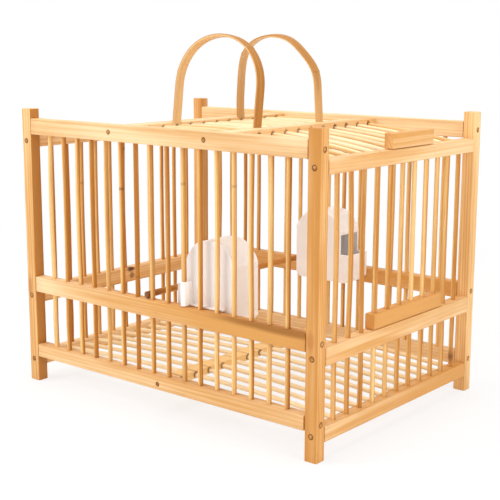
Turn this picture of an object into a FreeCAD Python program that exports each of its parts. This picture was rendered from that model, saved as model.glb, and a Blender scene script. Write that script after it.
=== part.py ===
import FreeCAD, Part
import os
import re
import Sketcher

# Driving sizes in millimetres, one independent value each
SIZES = {
    # frame
    "cage_length": 394,
    "cage_depth": 284,
    "post_tall": 300,
    "post_wide": 14,
    "post_deep": 13,
    "post_ease": 1.2,
    "rail_thick": 13,
    "rail_ease": 0.8,
    "joint_gap": 0.2,
    "long_top_drop": 10,
    "long_top_tall": 17,
    "long_middle_tall": 17,
    "long_bottom_tall": 14.5,
    "top_stagger": 14,
    "middle_stagger": 13.5,
    "bottom_stagger": 11,
    "side_top_tall": 14,
    "side_middle_low": 88,
    "side_middle_tall": 17,
    "side_bottom_low": 17,
    "side_bottom_tall": 15,
    # pegs through the posts
    "peg_round": 5.6,
    "peg_bite": 15,
    "peg_flush": 0.2,
    "peg_clear": 0.1,
    # wall sticks
    "stick_round": 5,
    "stick_clear": 0.1,
    "stick_end_gap": 0.3,
    "long_margin": 24,
    "side_margin": 21,
    "long_socket": 8,
    "side_socket": 6,
    # lifting door
    "door_line": 0.5,
    "door_clear": 0.45,
    "door_rest_gap": 0.3,
    "door_foot_tall": 15,
    "door_foot_thick": 11,
    "door_foot_over": 8,
    "door_socket": 10,
    "door_tip_drop": 1,
    "grip_tall": 15,
    "grip_thick": 10,
    "grip_over": 4.5,
    # roof and floor decks
    "deck_margin": 13.5,
    "deck_socket": 3,
    "deck_socket_round": 6,
    "roof_rise": 9.3,
    "roof_beam_rise": 9.2,
    "roof_beam_wide": 22,
    "roof_beam_tall": 11,
    "floor_rise": 10.5,
    "floor_beam_rise": 6.1,
    "floor_beam_wide": 18,
    "floor_beam_tall": 8,
    "beam_ease": 0.6,
    "beam_peg_round": 5,
    "beam_peg_bite": 8,
    # bent handle strips
    "hoop_wide": 11,
    "hoop_thick": 3,
    "hoop_rise": 96.25,
    "hoop_place": 52.3,
    "hoop_inset": 0.35,
    "hoop_housing": 1.8,
    "hoop_clear": 0.15,
    "front_lean": 7,
    "rear_lean": 5.5,
    # hooded feeders
    "feeder_long": 73,
    "feeder_deep": 36,
    "feeder_tall": 79,
    "feeder_wall": 2,
    "feeder_lip": 12,
    "feeder_foot": 5,
    "feeder_drop": 12.5,
    "feeder_gap": 0.4,
    "tray_tall": 32,
    "hood_straight": 60,
    "hood_brow": 5,
    "ledge_reach": 3.6,
    "ledge_tall": 2,
    "hook_high": 13.2,
    "hook_tall": 24,
    "hook_thick": 2,
    "hook_clear": 0.4,
    "hook_turn": 0.5,
    # loose perch
    "perch_round": 7,
    "perch_shift": 3,
    "perch_inset": 5,
    "perch_gap": 0.3,
}

# Places that follow from the driving sizes
LONG_TOP = "(post_tall - long_top_drop - long_top_tall)"
LONG_MIDDLE = "(side_middle_low + middle_stagger)"
LONG_BOTTOM = "(side_bottom_low + bottom_stagger)"
SIDE_TOP = "(" + LONG_TOP + " - top_stagger)"
SIDE_MIDDLE = "side_middle_low"
SIDE_BOTTOM = "side_bottom_low"
LONG_RAIL = "(cage_length - 2 * post_wide - 2 * joint_gap)"
SIDE_RAIL = "(cage_depth - 2 * post_deep - 2 * joint_gap)"
LONG_PITCH = "((cage_length - 2 * post_wide - 2 * long_margin) / 15)"
SIDE_PITCH = "((cage_depth - 2 * post_deep - 2 * side_margin) / 10)"
DECK_PITCH = "((cage_depth - 2 * rail_thick - 2 * deck_margin) / 11)"
LONG_LINE = "(cage_depth / 2 - rail_thick / 2)"
SIDE_LINE = "(cage_length / 2 - rail_thick / 2)"
DOOR_LINE = "(cage_length / 2 - rail_thick / 2 + door_line)"
STICK_HOLE = "(stick_round / 2 + stick_clear)"
PEG_HOLE = "(peg_round / 2 + peg_clear)"
BEAM_PEG_HOLE = "(beam_peg_round / 2 + peg_clear)"
DOOR_FOOT = "(side_middle_low + side_middle_tall + door_rest_gap)"
GRIP_LOW = "(" + SIDE_TOP + " + side_top_tall + door_rest_gap)"
BEAM_PLACE = "(3 * " + LONG_PITCH + ")"
BEAM_LONG = "(cage_depth - 2 * rail_thick - 2 * joint_gap)"
HOOP_HALF = "(" + BEAM_PLACE + " - roof_beam_wide / 2 + hoop_inset + hoop_thick)"

# The large circles along which the roof and floor sticks bend, from the sockets up to the beams
DECK_REACH = "(cage_length / 2 - rail_thick + deck_socket / 2)"
ROOF_MID = "(" + LONG_TOP + " + roof_beam_rise)"
ROOF_DROP = "(" + ROOF_MID + " - " + SIDE_TOP + " - roof_rise)"
ROOF_DIP = "((%s ^ 2 - %s ^ 2 + %s ^ 2) / (2 * %s))" % (DECK_REACH, BEAM_PLACE, ROOF_DROP, ROOF_DROP)
ROOF_ROUND = "sqrt(" + BEAM_PLACE + " ^ 2 + " + ROOF_DIP + " ^ 2)"
ROOF_AXIS = "(" + ROOF_MID + " - " + ROOF_DIP + ")"
FLOOR_MID = "(" + LONG_BOTTOM + " + floor_beam_rise)"
FLOOR_DROP = "(" + FLOOR_MID + " - " + SIDE_BOTTOM + " - floor_rise)"
FLOOR_ROUND = "((%s ^ 2 + %s ^ 2) / (2 * %s))" % (DECK_REACH, FLOOR_DROP, FLOOR_DROP)
FLOOR_AXIS = "(" + FLOOR_MID + " - " + FLOOR_ROUND + ")"

doc = FreeCAD.newDocument("cage")
sheet = doc.addObject("Spreadsheet::Sheet", "sizes")
for number, (alias, size) in enumerate(SIZES.items(), start=1):
    sheet.set("A%d" % number, alias)
    sheet.set("B%d" % number, str(size))
    sheet.setAlias("B%d" % number, alias)
doc.recompute()

finished = []
turns = {
    "x": FreeCAD.Rotation(FreeCAD.Vector(0, 1, 0), 90),
    "y": FreeCAD.Rotation(FreeCAD.Vector(-1, 0, 0), 90),
    "z": FreeCAD.Rotation(),
    "arch": FreeCAD.Rotation(FreeCAD.Vector(0, 1, 0), -15) * FreeCAD.Rotation(FreeCAD.Vector(1, 1, 1), -120),
}


def bound(text):
    """Turn an expression written with plain size names into one that reads the sheet."""
    def with_sheet(word):
        return "sizes." + word.group(0) if word.group(0) in SIZES else word.group(0)
    return re.sub(r"[a-z]\w*", with_sheet, text)


def bind(item, **properties):
    """Bind properties of an object to expressions."""
    for name, text in properties.items():
        item.setExpression(name, bound(text))


def place(item, spot, turn=None):
    """Bind the position of an object to expressions and give it a fixed turn."""
    if turn is not None:
        item.Placement = FreeCAD.Placement(FreeCAD.Vector(), turn)
    for axis, text in zip("xyz", spot):
        item.setExpression("Placement.Base." + axis, bound(text))


def new_body(label, spot, turn=None):
    """Start one named piece."""
    body = doc.addObject("PartDesign::Body", label)
    body.Label = label
    place(body, spot, turn)
    finished.append(body)
    return body


def origin_part(body, role):
    """Find an axis or a plane of a body's own origin."""
    return [part for part in body.Origin.OriginFeatures if part.Role == role][0]


def block(body, size, spot, cut=False, turn=None):
    """Add or remove a rectangular block."""
    kind = "PartDesign::SubtractiveBox" if cut else "PartDesign::AdditiveBox"
    item = body.newObject(kind, body.Label + "_block")
    bind(item, Length=size[0], Width=size[1], Height=size[2])
    place(item, spot, turn)
    body.Tip = item
    return item


def rod(body, axis, radius, length, spot, cut=False):
    """Add or remove a round rod along one axis."""
    kind = "PartDesign::SubtractiveCylinder" if cut else "PartDesign::AdditiveCylinder"
    item = body.newObject(kind, body.Label + "_rod")
    bind(item, Radius=radius, Height=length)
    place(item, spot, turns[axis])
    body.Tip = item
    return item


def arch(body, radius, ring, spot, cut=False):
    """Add or remove a round rod bent along the top of a large circle whose axis runs across the cage."""
    kind = "PartDesign::SubtractiveTorus" if cut else "PartDesign::AdditiveTorus"
    item = body.newObject(kind, body.Label + "_arch")
    item.Angle3 = 30
    bind(item, Radius1=ring, Radius2=radius)
    place(item, spot, turns["arch"])
    body.Tip = item
    return item


def row(body, features, axis, pitch, count):
    """Repeat features in a row."""
    item = body.newObject("PartDesign::LinearPattern", body.Label + "_row")
    item.Originals = features
    item.Direction = (origin_part(body, axis.upper() + "_Axis"), [""])
    item.Occurrences = count
    bind(item, Length="(%s) * %d" % (pitch, count - 1))
    body.Tip = item
    return item


def ease(body, base, size, along=None):
    """Plane a small flat on the edges of a block, on all of them or on those along one axis."""
    doc.recompute()
    names = []
    for number, edge in enumerate(base.Shape.Edges, start=1):
        direction = edge.tangentAt(edge.FirstParameter)
        if along is None or abs(getattr(direction, along)) > 0.9:
            names.append("Edge%d" % number)
    item = body.newObject("PartDesign::Chamfer", body.Label + "_ease")
    item.Base = (base, names)
    bind(item, Size=size)
    body.Tip = item


def outline(body, corners, arcs):
    """Draw a closed outline on the body's XZ plane, every corner held by two bound distances.

    Each corner is (x text, z text, rough x, rough z). Each arc is keyed by the corner it follows and
    holds the bound height of its centre, whether it runs against the way round and a rough middle point.
    """
    sketch = body.newObject("Sketcher::SketchObject", body.Label + "_outline")
    sketch.AttachmentSupport = [(origin_part(body, "XZ_Plane"), "")]
    sketch.MapMode = "FlatFace"
    ends = []
    for index, corner in enumerate(corners):
        after = corners[(index + 1) % len(corners)]
        start = FreeCAD.Vector(corner[2], corner[3], 0)
        end = FreeCAD.Vector(after[2], after[3], 0)
        if index in arcs:
            against = arcs[index][1]
            over = FreeCAD.Vector(arcs[index][2][0], arcs[index][2][1], 0)
            first, last = (end, start) if against else (start, end)
            number = sketch.addGeometry(Part.Arc(first, over, last), False)
            rough = sketch.Geometry[number].Center.y
            ends.append((number, 2, 1) if against else (number, 1, 2))
            height = Sketcher.Constraint("DistanceY", -1, 1, number, 3, rough)
            sketch.setExpression("Constraints[%d]" % sketch.addConstraint(height), bound(arcs[index][0]))
        else:
            number = sketch.addGeometry(Part.LineSegment(start, end), False)
            ends.append((number, 1, 2))
    for index, corner in enumerate(corners):
        number, begin, finish = ends[index]
        before = ends[index - 1]
        sketch.addConstraint(Sketcher.Constraint("Coincident", before[0], before[2], number, begin))
        for kind, axis, text, rough in (("DistanceX", -2, corner[0], corner[2]),
                                        ("DistanceY", -1, corner[1], corner[3])):
            if text == "0":
                sketch.addConstraint(Sketcher.Constraint("PointOnObject", number, begin, axis))
            else:
                distance = Sketcher.Constraint(kind, -1, 1, number, begin, rough)
                sketch.setExpression("Constraints[%d]" % sketch.addConstraint(distance), bound(text))
    return sketch


def stretch(body, sketch, length, cut=False):
    """Extrude an outline evenly to both sides of its plane, as material or as a hollow."""
    item = body.newObject("PartDesign::Pocket" if cut else "PartDesign::Pad", body.Label + "_stretch")
    item.Profile = sketch
    item.SideType = "Symmetric"
    bind(item, Length=length)
    body.Tip = item


# Corner posts with a through hole for every peg
for name, right, front in (("post_front_left", 0, 1), ("post_front_right", 1, 1),
                           ("post_back_left", 0, 0), ("post_back_right", 1, 0)):
    corner_x = "cage_length / 2 - post_wide" if right else "-cage_length / 2"
    corner_y = "-cage_depth / 2" if front else "cage_depth / 2 - post_deep"
    post = new_body(name, (corner_x, corner_y, "0"))
    ease(post, block(post, ("post_wide", "post_deep", "post_tall"), ("0", "0", "0")), "post_ease")
    middle_x = "post_wide - rail_thick / 2" if right else "rail_thick / 2"
    middle_y = "rail_thick / 2" if front else "post_deep - rail_thick / 2"
    for low, tall in ((LONG_TOP, "long_top_tall"), (LONG_MIDDLE, "long_middle_tall"),
                      (LONG_BOTTOM, "long_bottom_tall")):
        rod(post, "x", PEG_HOLE, "post_wide + 2", ("-1", middle_y, low + " + " + tall + " / 2"), cut=True)
    for low, tall in ((SIDE_TOP, "side_top_tall"), (SIDE_MIDDLE, "side_middle_tall"),
                      (SIDE_BOTTOM, "side_bottom_tall")):
        rod(post, "y", PEG_HOLE, "post_deep + 2", (middle_x, "-1", low + " + " + tall + " / 2"), cut=True)

# Long rails with their stick holes and peg holes
for side in ("front", "back"):
    line_y = "-cage_depth / 2" if side == "front" else "cage_depth / 2 - rail_thick"
    first_x = "(" + LONG_RAIL + " / 2 - 7.5 * " + LONG_PITCH + ")"
    for level, low, tall in (("top", LONG_TOP, "long_top_tall"), ("middle", LONG_MIDDLE, "long_middle_tall"),
                             ("bottom", LONG_BOTTOM, "long_bottom_tall")):
        rail = new_body("%s_%s_rail" % (side, level), ("-" + LONG_RAIL + " / 2", line_y, low))
        ease(rail, block(rail, (LONG_RAIL, "rail_thick", tall), ("0", "0", "0")), "rail_ease", "x")
        depth, start = {"top": ("long_socket + 1", "-1"), "middle": (tall + " + 2", "-1"),
                        "bottom": ("long_socket + 1", tall + " - long_socket")}[level]
        hole = rod(rail, "z", STICK_HOLE, depth, (first_x, "rail_thick / 2", start), cut=True)
        row(rail, [hole], "x", LONG_PITCH, 16)
        for end_x in ("-1", LONG_RAIL + " - peg_bite"):
            rod(rail, "x", PEG_HOLE, "peg_bite + 1", (end_x, "rail_thick / 2", tall + " / 2"), cut=True)
        if level == "top":
            peg_z = ROOF_MID + " - " + low
            for side_x in (" - ", " + "):
                spot = (LONG_RAIL + " / 2" + side_x + BEAM_PLACE, "-1", peg_z)
                rod(rail, "y", BEAM_PEG_HOLE, "rail_thick + 2", spot, cut=True)
        if level == "bottom":
            peg_z = FLOOR_MID + " - " + low
            rod(rail, "y", BEAM_PEG_HOLE, "rail_thick + 2", (LONG_RAIL + " / 2", "-1", peg_z), cut=True)

# Short rails, the right ones shaped for the doorway
for side in ("left", "right"):
    line_x = "-cage_length / 2" if side == "left" else "cage_length / 2 - rail_thick"
    first_y = "(" + SIDE_RAIL + " / 2 - 5 * " + SIDE_PITCH + ")"
    for level, low, tall in (("top", SIDE_TOP, "side_top_tall"), ("middle", SIDE_MIDDLE, "side_middle_tall"),
                             ("bottom", SIDE_BOTTOM, "side_bottom_tall")):
        rail = new_body("%s_%s_rail" % (side, level), (line_x, "-" + SIDE_RAIL + " / 2", low))
        ease(rail, block(rail, ("rail_thick", SIDE_RAIL, tall), ("0", "0", "0")), "rail_ease", "y")
        depth, start = {"top": ("side_socket + 1", "-1"), "middle": (tall + " + 2", "-1"),
                        "bottom": ("side_socket + 1", tall + " - side_socket")}[level]
        spans = [(0, 11)] if side == "left" or level == "bottom" else [(0, 3), (9, 2)]
        for skip, count in spans:
            spot = ("rail_thick / 2", first_y + " + %d * " % skip + SIDE_PITCH, start)
            row(rail, [rod(rail, "z", STICK_HOLE, depth, spot, cut=True)], "y", SIDE_PITCH, count)
        door_y = first_y + " + 3 * " + SIDE_PITCH
        if side == "right" and level == "top":
            guide = rod(rail, "z", "stick_round / 2 + door_clear", tall + " + 2",
                        ("rail_thick / 2 + door_line", door_y, "-1"), cut=True)
            row(rail, [guide], "y", SIDE_PITCH, 6)
        if side == "right" and level == "middle":
            hole = rod(rail, "z", STICK_HOLE, "side_socket + 1", ("rail_thick / 2", door_y, "-1"), cut=True)
            row(rail, [hole], "y", SIDE_PITCH, 6)
        for end_y in ("-1", SIDE_RAIL + " - peg_bite"):
            rod(rail, "y", PEG_HOLE, "peg_bite + 1", ("rail_thick / 2", end_y, tall + " / 2"), cut=True)
        if level != "middle":
            socket_x = "rail_thick - deck_socket" if side == "left" else "-1"
            socket_z = "roof_rise" if level == "top" else "floor_rise"
            spot = (socket_x, SIDE_RAIL + " / 2 - 5.5 * " + DECK_PITCH, socket_z)
            socket = rod(rail, "x", "deck_socket_round / 2", "deck_socket + 1", spot, cut=True)
            row(rail, [socket], "y", DECK_PITCH, 12)

# Wall sticks
long_low = LONG_BOTTOM + " + long_bottom_tall - long_socket + stick_end_gap"
long_stick = LONG_TOP + " + 2 * long_socket - 2 * stick_end_gap - " + LONG_BOTTOM + " - long_bottom_tall"
for name, line_y in (("front_sticks", "-" + LONG_LINE), ("back_sticks", LONG_LINE)):
    sticks = new_body(name, ("-7.5 * " + LONG_PITCH, line_y, long_low))
    row(sticks, [rod(sticks, "z", "stick_round / 2", long_stick, ("0", "0", "0"))], "x", LONG_PITCH, 16)
side_low = SIDE_BOTTOM + " + side_bottom_tall - side_socket + stick_end_gap"
side_stick = SIDE_TOP + " + 2 * side_socket - 2 * stick_end_gap - " + SIDE_BOTTOM + " - side_bottom_tall"
low_stick = SIDE_MIDDLE + " + 2 * side_socket - 2 * stick_end_gap - " + SIDE_BOTTOM + " - side_bottom_tall"
for name, line_x, skip, count, length in (("left_sticks", "-" + SIDE_LINE, 0, 11, side_stick),
                                          ("right_front_sticks", SIDE_LINE, 0, 3, side_stick),
                                          ("right_low_sticks", SIDE_LINE, 3, 6, low_stick),
                                          ("right_back_sticks", SIDE_LINE, 9, 2, side_stick)):
    sticks = new_body(name, (line_x, "%d * " % (skip - 5) + SIDE_PITCH, side_low))
    row(sticks, [rod(sticks, "z", "stick_round / 2", length, ("0", "0", "0"))], "y", SIDE_PITCH, count)

# Lifting door: two short outer sticks, four long ones that carry the grip, and the two blocks
door_low = DOOR_FOOT + " + door_foot_tall - door_socket + stick_end_gap"
door_sticks = new_body("door_sticks", (DOOR_LINE, "-2 * " + SIDE_PITCH, door_low))
outer = SIDE_TOP + " + side_top_tall - door_tip_drop - (" + door_low + ")"
inner = GRIP_LOW + " + door_socket - stick_end_gap - (" + door_low + ")"
outer_rod = rod(door_sticks, "z", "stick_round / 2", outer, ("0", "0", "0"))
row(door_sticks, [outer_rod], "y", "5 * " + SIDE_PITCH, 2)
inner_rod = rod(door_sticks, "z", "stick_round / 2", inner, ("0", SIDE_PITCH, "0"))
row(door_sticks, [inner_rod], "y", SIDE_PITCH, 4)
foot_long = "(5 * " + SIDE_PITCH + " + 2 * door_foot_over)"
foot = new_body("door_foot_block", (DOOR_LINE + " - door_foot_thick / 2",
                                    "-2 * " + SIDE_PITCH + " - door_foot_over", DOOR_FOOT))
ease(foot, block(foot, ("door_foot_thick", foot_long, "door_foot_tall"), ("0", "0", "0")), "rail_ease")
foot_hole = rod(foot, "z", STICK_HOLE, "door_socket + 1",
                ("door_foot_thick / 2", "door_foot_over", "door_foot_tall - door_socket"), cut=True)
row(foot, [foot_hole], "y", SIDE_PITCH, 6)
grip_long = "(3 * " + SIDE_PITCH + " + 2 * grip_over)"
grip = new_body("door_grip_block", (DOOR_LINE + " - grip_thick / 2",
                                    "-" + SIDE_PITCH + " - grip_over", GRIP_LOW))
ease(grip, block(grip, ("grip_thick", grip_long, "grip_tall"), ("0", "0", "0")), "rail_ease")
grip_hole = rod(grip, "z", STICK_HOLE, "door_socket + 1", ("grip_thick / 2", "grip_over", "-1"), cut=True)
row(grip, [grip_hole], "y", SIDE_PITCH, 4)

# Roof and floor sticks, bent upwards between their end sockets
deck_half = "(cage_length / 2 - rail_thick + deck_socket - stick_end_gap)"
for name, ring, axis_z in (("roof_sticks", ROOF_ROUND, ROOF_AXIS), ("floor_sticks", FLOOR_ROUND, FLOOR_AXIS)):
    deck = new_body(name, ("0", "-5.5 * " + DECK_PITCH, axis_z))
    row(deck, [arch(deck, "stick_round / 2", ring, ("0", "0", "0"))], "y", DECK_PITCH, 12)
    spare = ("0.3 * " + ring, "11 * " + DECK_PITCH + " + 20", "0.1 * " + ring + " + 20")
    for end_x in ("-" + deck_half + " - 0.3 * " + ring, deck_half):
        block(deck, spare, (end_x, "-10", "0.9 * " + ring), cut=True)

# Cross beams threaded by the sticks, with peg holes and, on the roof, slanting notches for the handle strips
lean_front = FreeCAD.Rotation(FreeCAD.Vector(-1, 0, 0), SIZES["front_lean"])
lean_rear = FreeCAD.Rotation(FreeCAD.Vector(1, 0, 0), SIZES["rear_lean"])
roof_curve = (ROOF_MID, ROOF_ROUND, ROOF_AXIS, "roof_beam_wide", "roof_beam_tall")
floor_curve = (FLOOR_MID, FLOOR_ROUND, FLOOR_AXIS, "floor_beam_wide", "floor_beam_tall")
for name, centre, curve, inner_side in (("roof_beam_left", "-" + BEAM_PLACE, roof_curve, 1),
                                        ("roof_beam_right", BEAM_PLACE, roof_curve, -1),
                                        ("floor_beam", "0", floor_curve, 0)):
    middle, ring, axis_z, wide, tall = curve
    beam = new_body(name, (centre + " - " + wide + " / 2", "-" + BEAM_LONG + " / 2", middle + " - " + tall + " / 2"))
    ease(beam, block(beam, (wide, BEAM_LONG, tall), ("0", "0", "0")), "beam_ease", "y")
    hole_y = BEAM_LONG + " / 2 - 5.5 * " + DECK_PITCH
    hole_z = axis_z + " - " + middle + " + " + tall + " / 2"
    hole = arch(beam, STICK_HOLE, ring, (wide + " / 2 - (" + centre + ")", hole_y, hole_z), cut=True)
    row(beam, [hole], "y", DECK_PITCH, 12)
    for end_y in ("-1", BEAM_LONG + " - beam_peg_bite"):
        peg_spot = (wide + " / 2", end_y, tall + " / 2")
        rod(beam, "y", BEAM_PEG_HOLE, "beam_peg_bite + 1", peg_spot, cut=True)
    if inner_side:
        deep = "(hoop_inset + hoop_thick + hoop_clear)"
        slot_x = "roof_beam_wide - " + deep if inner_side > 0 else "-1"
        half = "(hoop_wide / 2 + hoop_clear)"
        for sign, other, lean, alias in (("-", "+", lean_front, "front_lean"),
                                         ("+", "-", lean_rear, "rear_lean")):
            spot_y = "%s / 2 %s hoop_place - %s * cos(%s)" % (BEAM_LONG, sign, half, alias)
            spot_y += " %s hoop_clear * sin(%s)" % (sign, alias)
            spot_z = "roof_beam_tall - hoop_housing %s %s * sin(%s)" % (other, half, alias)
            spot_z += " - hoop_clear * cos(%s)" % alias
            slot = block(beam, (deep + " + 1", "2 * " + half, "roof_beam_tall"),
                         (slot_x, spot_y, spot_z), cut=True, turn=lean)
            slot.setExpression("Placement.Rotation.Angle", bound(alias))

# Bent handle strips, each a flat strip on two straight legs and a half round
hoop_in = "(2 * " + HOOP_HALF + " - hoop_thick)"
hoop_leg = "(hoop_rise - " + HOOP_HALF + ")"
hoop_corners = [("0", "0", 0, 0), ("hoop_thick", "0", 3, 0), ("hoop_thick", hoop_leg, 3, 40),
                (hoop_in, hoop_leg, 109, 40), (hoop_in, "0", 109, 0), ("2 * " + HOOP_HALF, "0", 112, 0),
                ("2 * " + HOOP_HALF, hoop_leg, 112, 40), ("0", hoop_leg, 0, 40)]
for name, sign, lean, alias in (("front_handle_strip", "-", lean_front, "front_lean"),
                                ("rear_handle_strip", "", lean_rear, "rear_lean")):
    foot_z = ROOF_MID + " + roof_beam_tall / 2 - hoop_housing"
    hoop = new_body(name, ("-" + HOOP_HALF, sign + "hoop_place", foot_z), lean)
    hoop.setExpression("Placement.Rotation.Angle", bound(alias))
    hoop_arcs = {2: (hoop_leg, True, (56, 93)), 6: (hoop_leg, False, (56, 96))}
    stretch(hoop, outline(hoop, hoop_corners, hoop_arcs), "hoop_wide")

# Pegs
long_peg = "post_wide - peg_flush + joint_gap + peg_bite - stick_end_gap"
long_pegs = new_body("long_rail_pegs", ("0", "0", "0"))
for low, tall in ((LONG_TOP, "long_top_tall"), (LONG_MIDDLE, "long_middle_tall"),
                  (LONG_BOTTOM, "long_bottom_tall")):
    for end_x in ("-cage_length / 2 + peg_flush", "cage_length / 2 - peg_flush - (" + long_peg + ")"):
        for line_y in ("-" + LONG_LINE, LONG_LINE):
            rod(long_pegs, "x", "peg_round / 2", long_peg, (end_x, line_y, low + " + " + tall + " / 2"))
side_peg = "post_deep - peg_flush + joint_gap + peg_bite - stick_end_gap"
side_pegs = new_body("side_rail_pegs", ("0", "0", "0"))
for low, tall in ((SIDE_TOP, "side_top_tall"), (SIDE_MIDDLE, "side_middle_tall"),
                  (SIDE_BOTTOM, "side_bottom_tall")):
    for end_y in ("-cage_depth / 2 + peg_flush", "cage_depth / 2 - peg_flush - (" + side_peg + ")"):
        for line_x in ("-" + SIDE_LINE, SIDE_LINE):
            rod(side_pegs, "y", "peg_round / 2", side_peg, (line_x, end_y, low + " + " + tall + " / 2"))
beam_peg = "rail_thick - peg_flush + joint_gap + beam_peg_bite - stick_end_gap"
beam_peg_ends = ("-cage_depth / 2 + peg_flush", "cage_depth / 2 - peg_flush - (" + beam_peg + ")")
roof_pegs = new_body("roof_beam_pegs", ("0", "0", ROOF_MID))
floor_pegs = new_body("floor_beam_pegs", ("0", "0", FLOOR_MID))
for end_y in beam_peg_ends:
    rod(roof_pegs, "y", "beam_peg_round / 2", beam_peg, ("-" + BEAM_PLACE, end_y, "0"))
    rod(roof_pegs, "y", "beam_peg_round / 2", beam_peg, (BEAM_PLACE, end_y, "0"))
    rod(floor_pegs, "y", "beam_peg_round / 2", beam_peg, ("0", end_y, "0"))

# Hooded feeders: one outline for the moulding, one for its hollow, then the rest ledge and the hook
hood_round = "(feeder_tall - hood_straight)"
foot_in = "(feeder_foot + 0.414 * feeder_wall)"
outer_corners = [("0", "feeder_foot", 0, 5), ("feeder_foot", "0", 5, 0),
                 ("feeder_long - feeder_foot", "0", 68, 0),
                 ("feeder_long", "feeder_foot", 73, 5), ("feeder_long", "hood_straight", 73, 60),
                 ("feeder_long - " + hood_round, "feeder_tall", 54, 79),
                 ("feeder_lip + " + hood_round, "feeder_tall", 31, 79),
                 ("feeder_lip", "hood_straight", 12, 60), ("feeder_lip", "tray_tall", 12, 32),
                 ("0", "tray_tall", 0, 32)]
outer_arcs = {4: ("hood_straight", False, (67.435, 73.435)), 6: ("hood_straight", False, (17.565, 73.435))}
inner_corners = [("feeder_wall", foot_in, 2, 6), (foot_in, "feeder_wall", 6, 2),
                 ("feeder_long - " + foot_in, "feeder_wall", 67, 2),
                 ("feeder_long - feeder_wall", foot_in, 71, 6),
                 ("feeder_long - feeder_wall", "hood_straight", 71, 60),
                 ("feeder_long - " + hood_round, "feeder_tall - feeder_wall", 54, 77),
                 ("feeder_lip + " + hood_round, "feeder_tall - feeder_wall", 31, 77),
                 ("feeder_lip + feeder_wall", "hood_straight", 14, 60),
                 ("feeder_lip + feeder_wall", "hood_straight - hood_brow", 14, 55),
                 ("0", "hood_straight - hood_brow", 0, 55), ("0", "tray_tall", 0, 32),
                 ("feeder_wall", "tray_tall", 2, 32)]
inner_arcs = {4: ("hood_straight", False, (66.02, 72.02)), 6: ("hood_straight", False, (18.98, 72.02))}
bar_reach = "(rail_thick / 2 + feeder_gap)"
hook_reach = "(" + bar_reach + " + stick_round / 2 + hook_clear + hook_thick)"
for name, centre, line_y, turn in (
        ("front_feeder", "2.5 * " + LONG_PITCH + " - feeder_long / 2",
         "-cage_depth / 2 + rail_thick + feeder_gap + feeder_deep / 2", None),
        ("back_feeder", "1.5 * " + LONG_PITCH + " + feeder_long / 2",
         "cage_depth / 2 - rail_thick - feeder_gap - feeder_deep / 2",
         FreeCAD.Rotation(FreeCAD.Vector(0, 0, 1), 180))):
    feeder = new_body(name, (centre, line_y, LONG_MIDDLE + " + long_middle_tall - feeder_drop"), turn)
    stretch(feeder, outline(feeder, outer_corners, outer_arcs), "feeder_deep")
    stretch(feeder, outline(feeder, inner_corners, inner_arcs), "feeder_deep - 2 * feeder_wall", cut=True)
    block(feeder, ("feeder_long - 2 * feeder_lip", "ledge_reach + 1", "ledge_tall"),
          ("feeder_lip", "-feeder_deep / 2 - ledge_reach", "feeder_drop + perch_gap"))
    bar = "(feeder_long / 2 - " + LONG_PITCH + ")"
    hook_side = "(stick_round / 2 + hook_clear)"
    foot_y = "-feeder_deep / 2 - " + hook_reach
    block(feeder, ("hook_thick", hook_reach + " + 1", "hook_tall"),
          (bar + " + " + hook_side, foot_y, "hook_high"))
    block(feeder, (hook_side + " + hook_turn + hook_thick", "hook_thick", "hook_tall"),
          (bar + " - hook_turn", foot_y, "hook_high"))

# Loose perch lying on the long middle rails between two sticks
perch = new_body("perch", ("-" + LONG_PITCH + " + perch_shift", "-cage_depth / 2 + perch_inset",
                           LONG_MIDDLE + " + long_middle_tall + perch_gap + perch_round / 2"))
rod(perch, "y", "perch_round / 2", "cage_depth - 2 * perch_inset", ("0", "0", "0"))

doc.recompute()
faults = [item.Name for item in doc.Objects if "Invalid" in item.State or "Error" in item.State]
if faults:
    raise RuntimeError("objects that failed to build: " + ", ".join(faults))
os.makedirs("parts", exist_ok=True)
for piece in finished:
    if piece.Shape.isNull() or not piece.Shape.isValid():
        raise RuntimeError("bad shape: " + piece.Label)
    piece.Shape.exportStep("parts/%s.step" % piece.Label)
    print(piece.Label, len(piece.Shape.Solids), round(piece.Shape.Volume, 1))
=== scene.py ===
"""Bamboo bird cage: sawn frame, split sticks, lifting door, bent handles and hanging feeders."""
import logging
import math
import random
from dataclasses import dataclass, field
from enum import Enum
from functools import cached_property
from typing import ClassVar

import bmesh
import bpy
from mathutils import Matrix, Vector, noise


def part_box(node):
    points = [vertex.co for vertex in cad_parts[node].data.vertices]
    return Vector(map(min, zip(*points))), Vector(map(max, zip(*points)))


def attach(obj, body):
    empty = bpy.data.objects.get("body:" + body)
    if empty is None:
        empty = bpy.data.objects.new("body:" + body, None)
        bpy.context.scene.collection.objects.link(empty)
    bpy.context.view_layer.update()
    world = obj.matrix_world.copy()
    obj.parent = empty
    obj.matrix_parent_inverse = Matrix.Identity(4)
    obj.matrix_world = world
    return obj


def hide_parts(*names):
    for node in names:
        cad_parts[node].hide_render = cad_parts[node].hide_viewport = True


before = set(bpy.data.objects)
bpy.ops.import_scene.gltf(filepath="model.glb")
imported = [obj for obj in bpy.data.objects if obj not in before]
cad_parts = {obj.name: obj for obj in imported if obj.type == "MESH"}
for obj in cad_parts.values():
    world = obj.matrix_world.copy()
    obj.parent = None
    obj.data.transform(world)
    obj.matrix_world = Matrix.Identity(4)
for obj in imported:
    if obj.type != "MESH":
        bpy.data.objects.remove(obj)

LOG = logging.getLogger("bird_cage")
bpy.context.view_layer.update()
MM = 0.001
SAME_POINT = 0.001 * MM
WAVE_LENGTH = 0.314
NOISE_SPAN = (0.3, 0.7)
BENT_NODES = ("roof_sticks", "floor_sticks")
CORNERS = ((1, 1), (-1, 1), (-1, -1), (1, -1))
WHITE = (1.0, 1.0, 1.0, 1.0)

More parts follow.
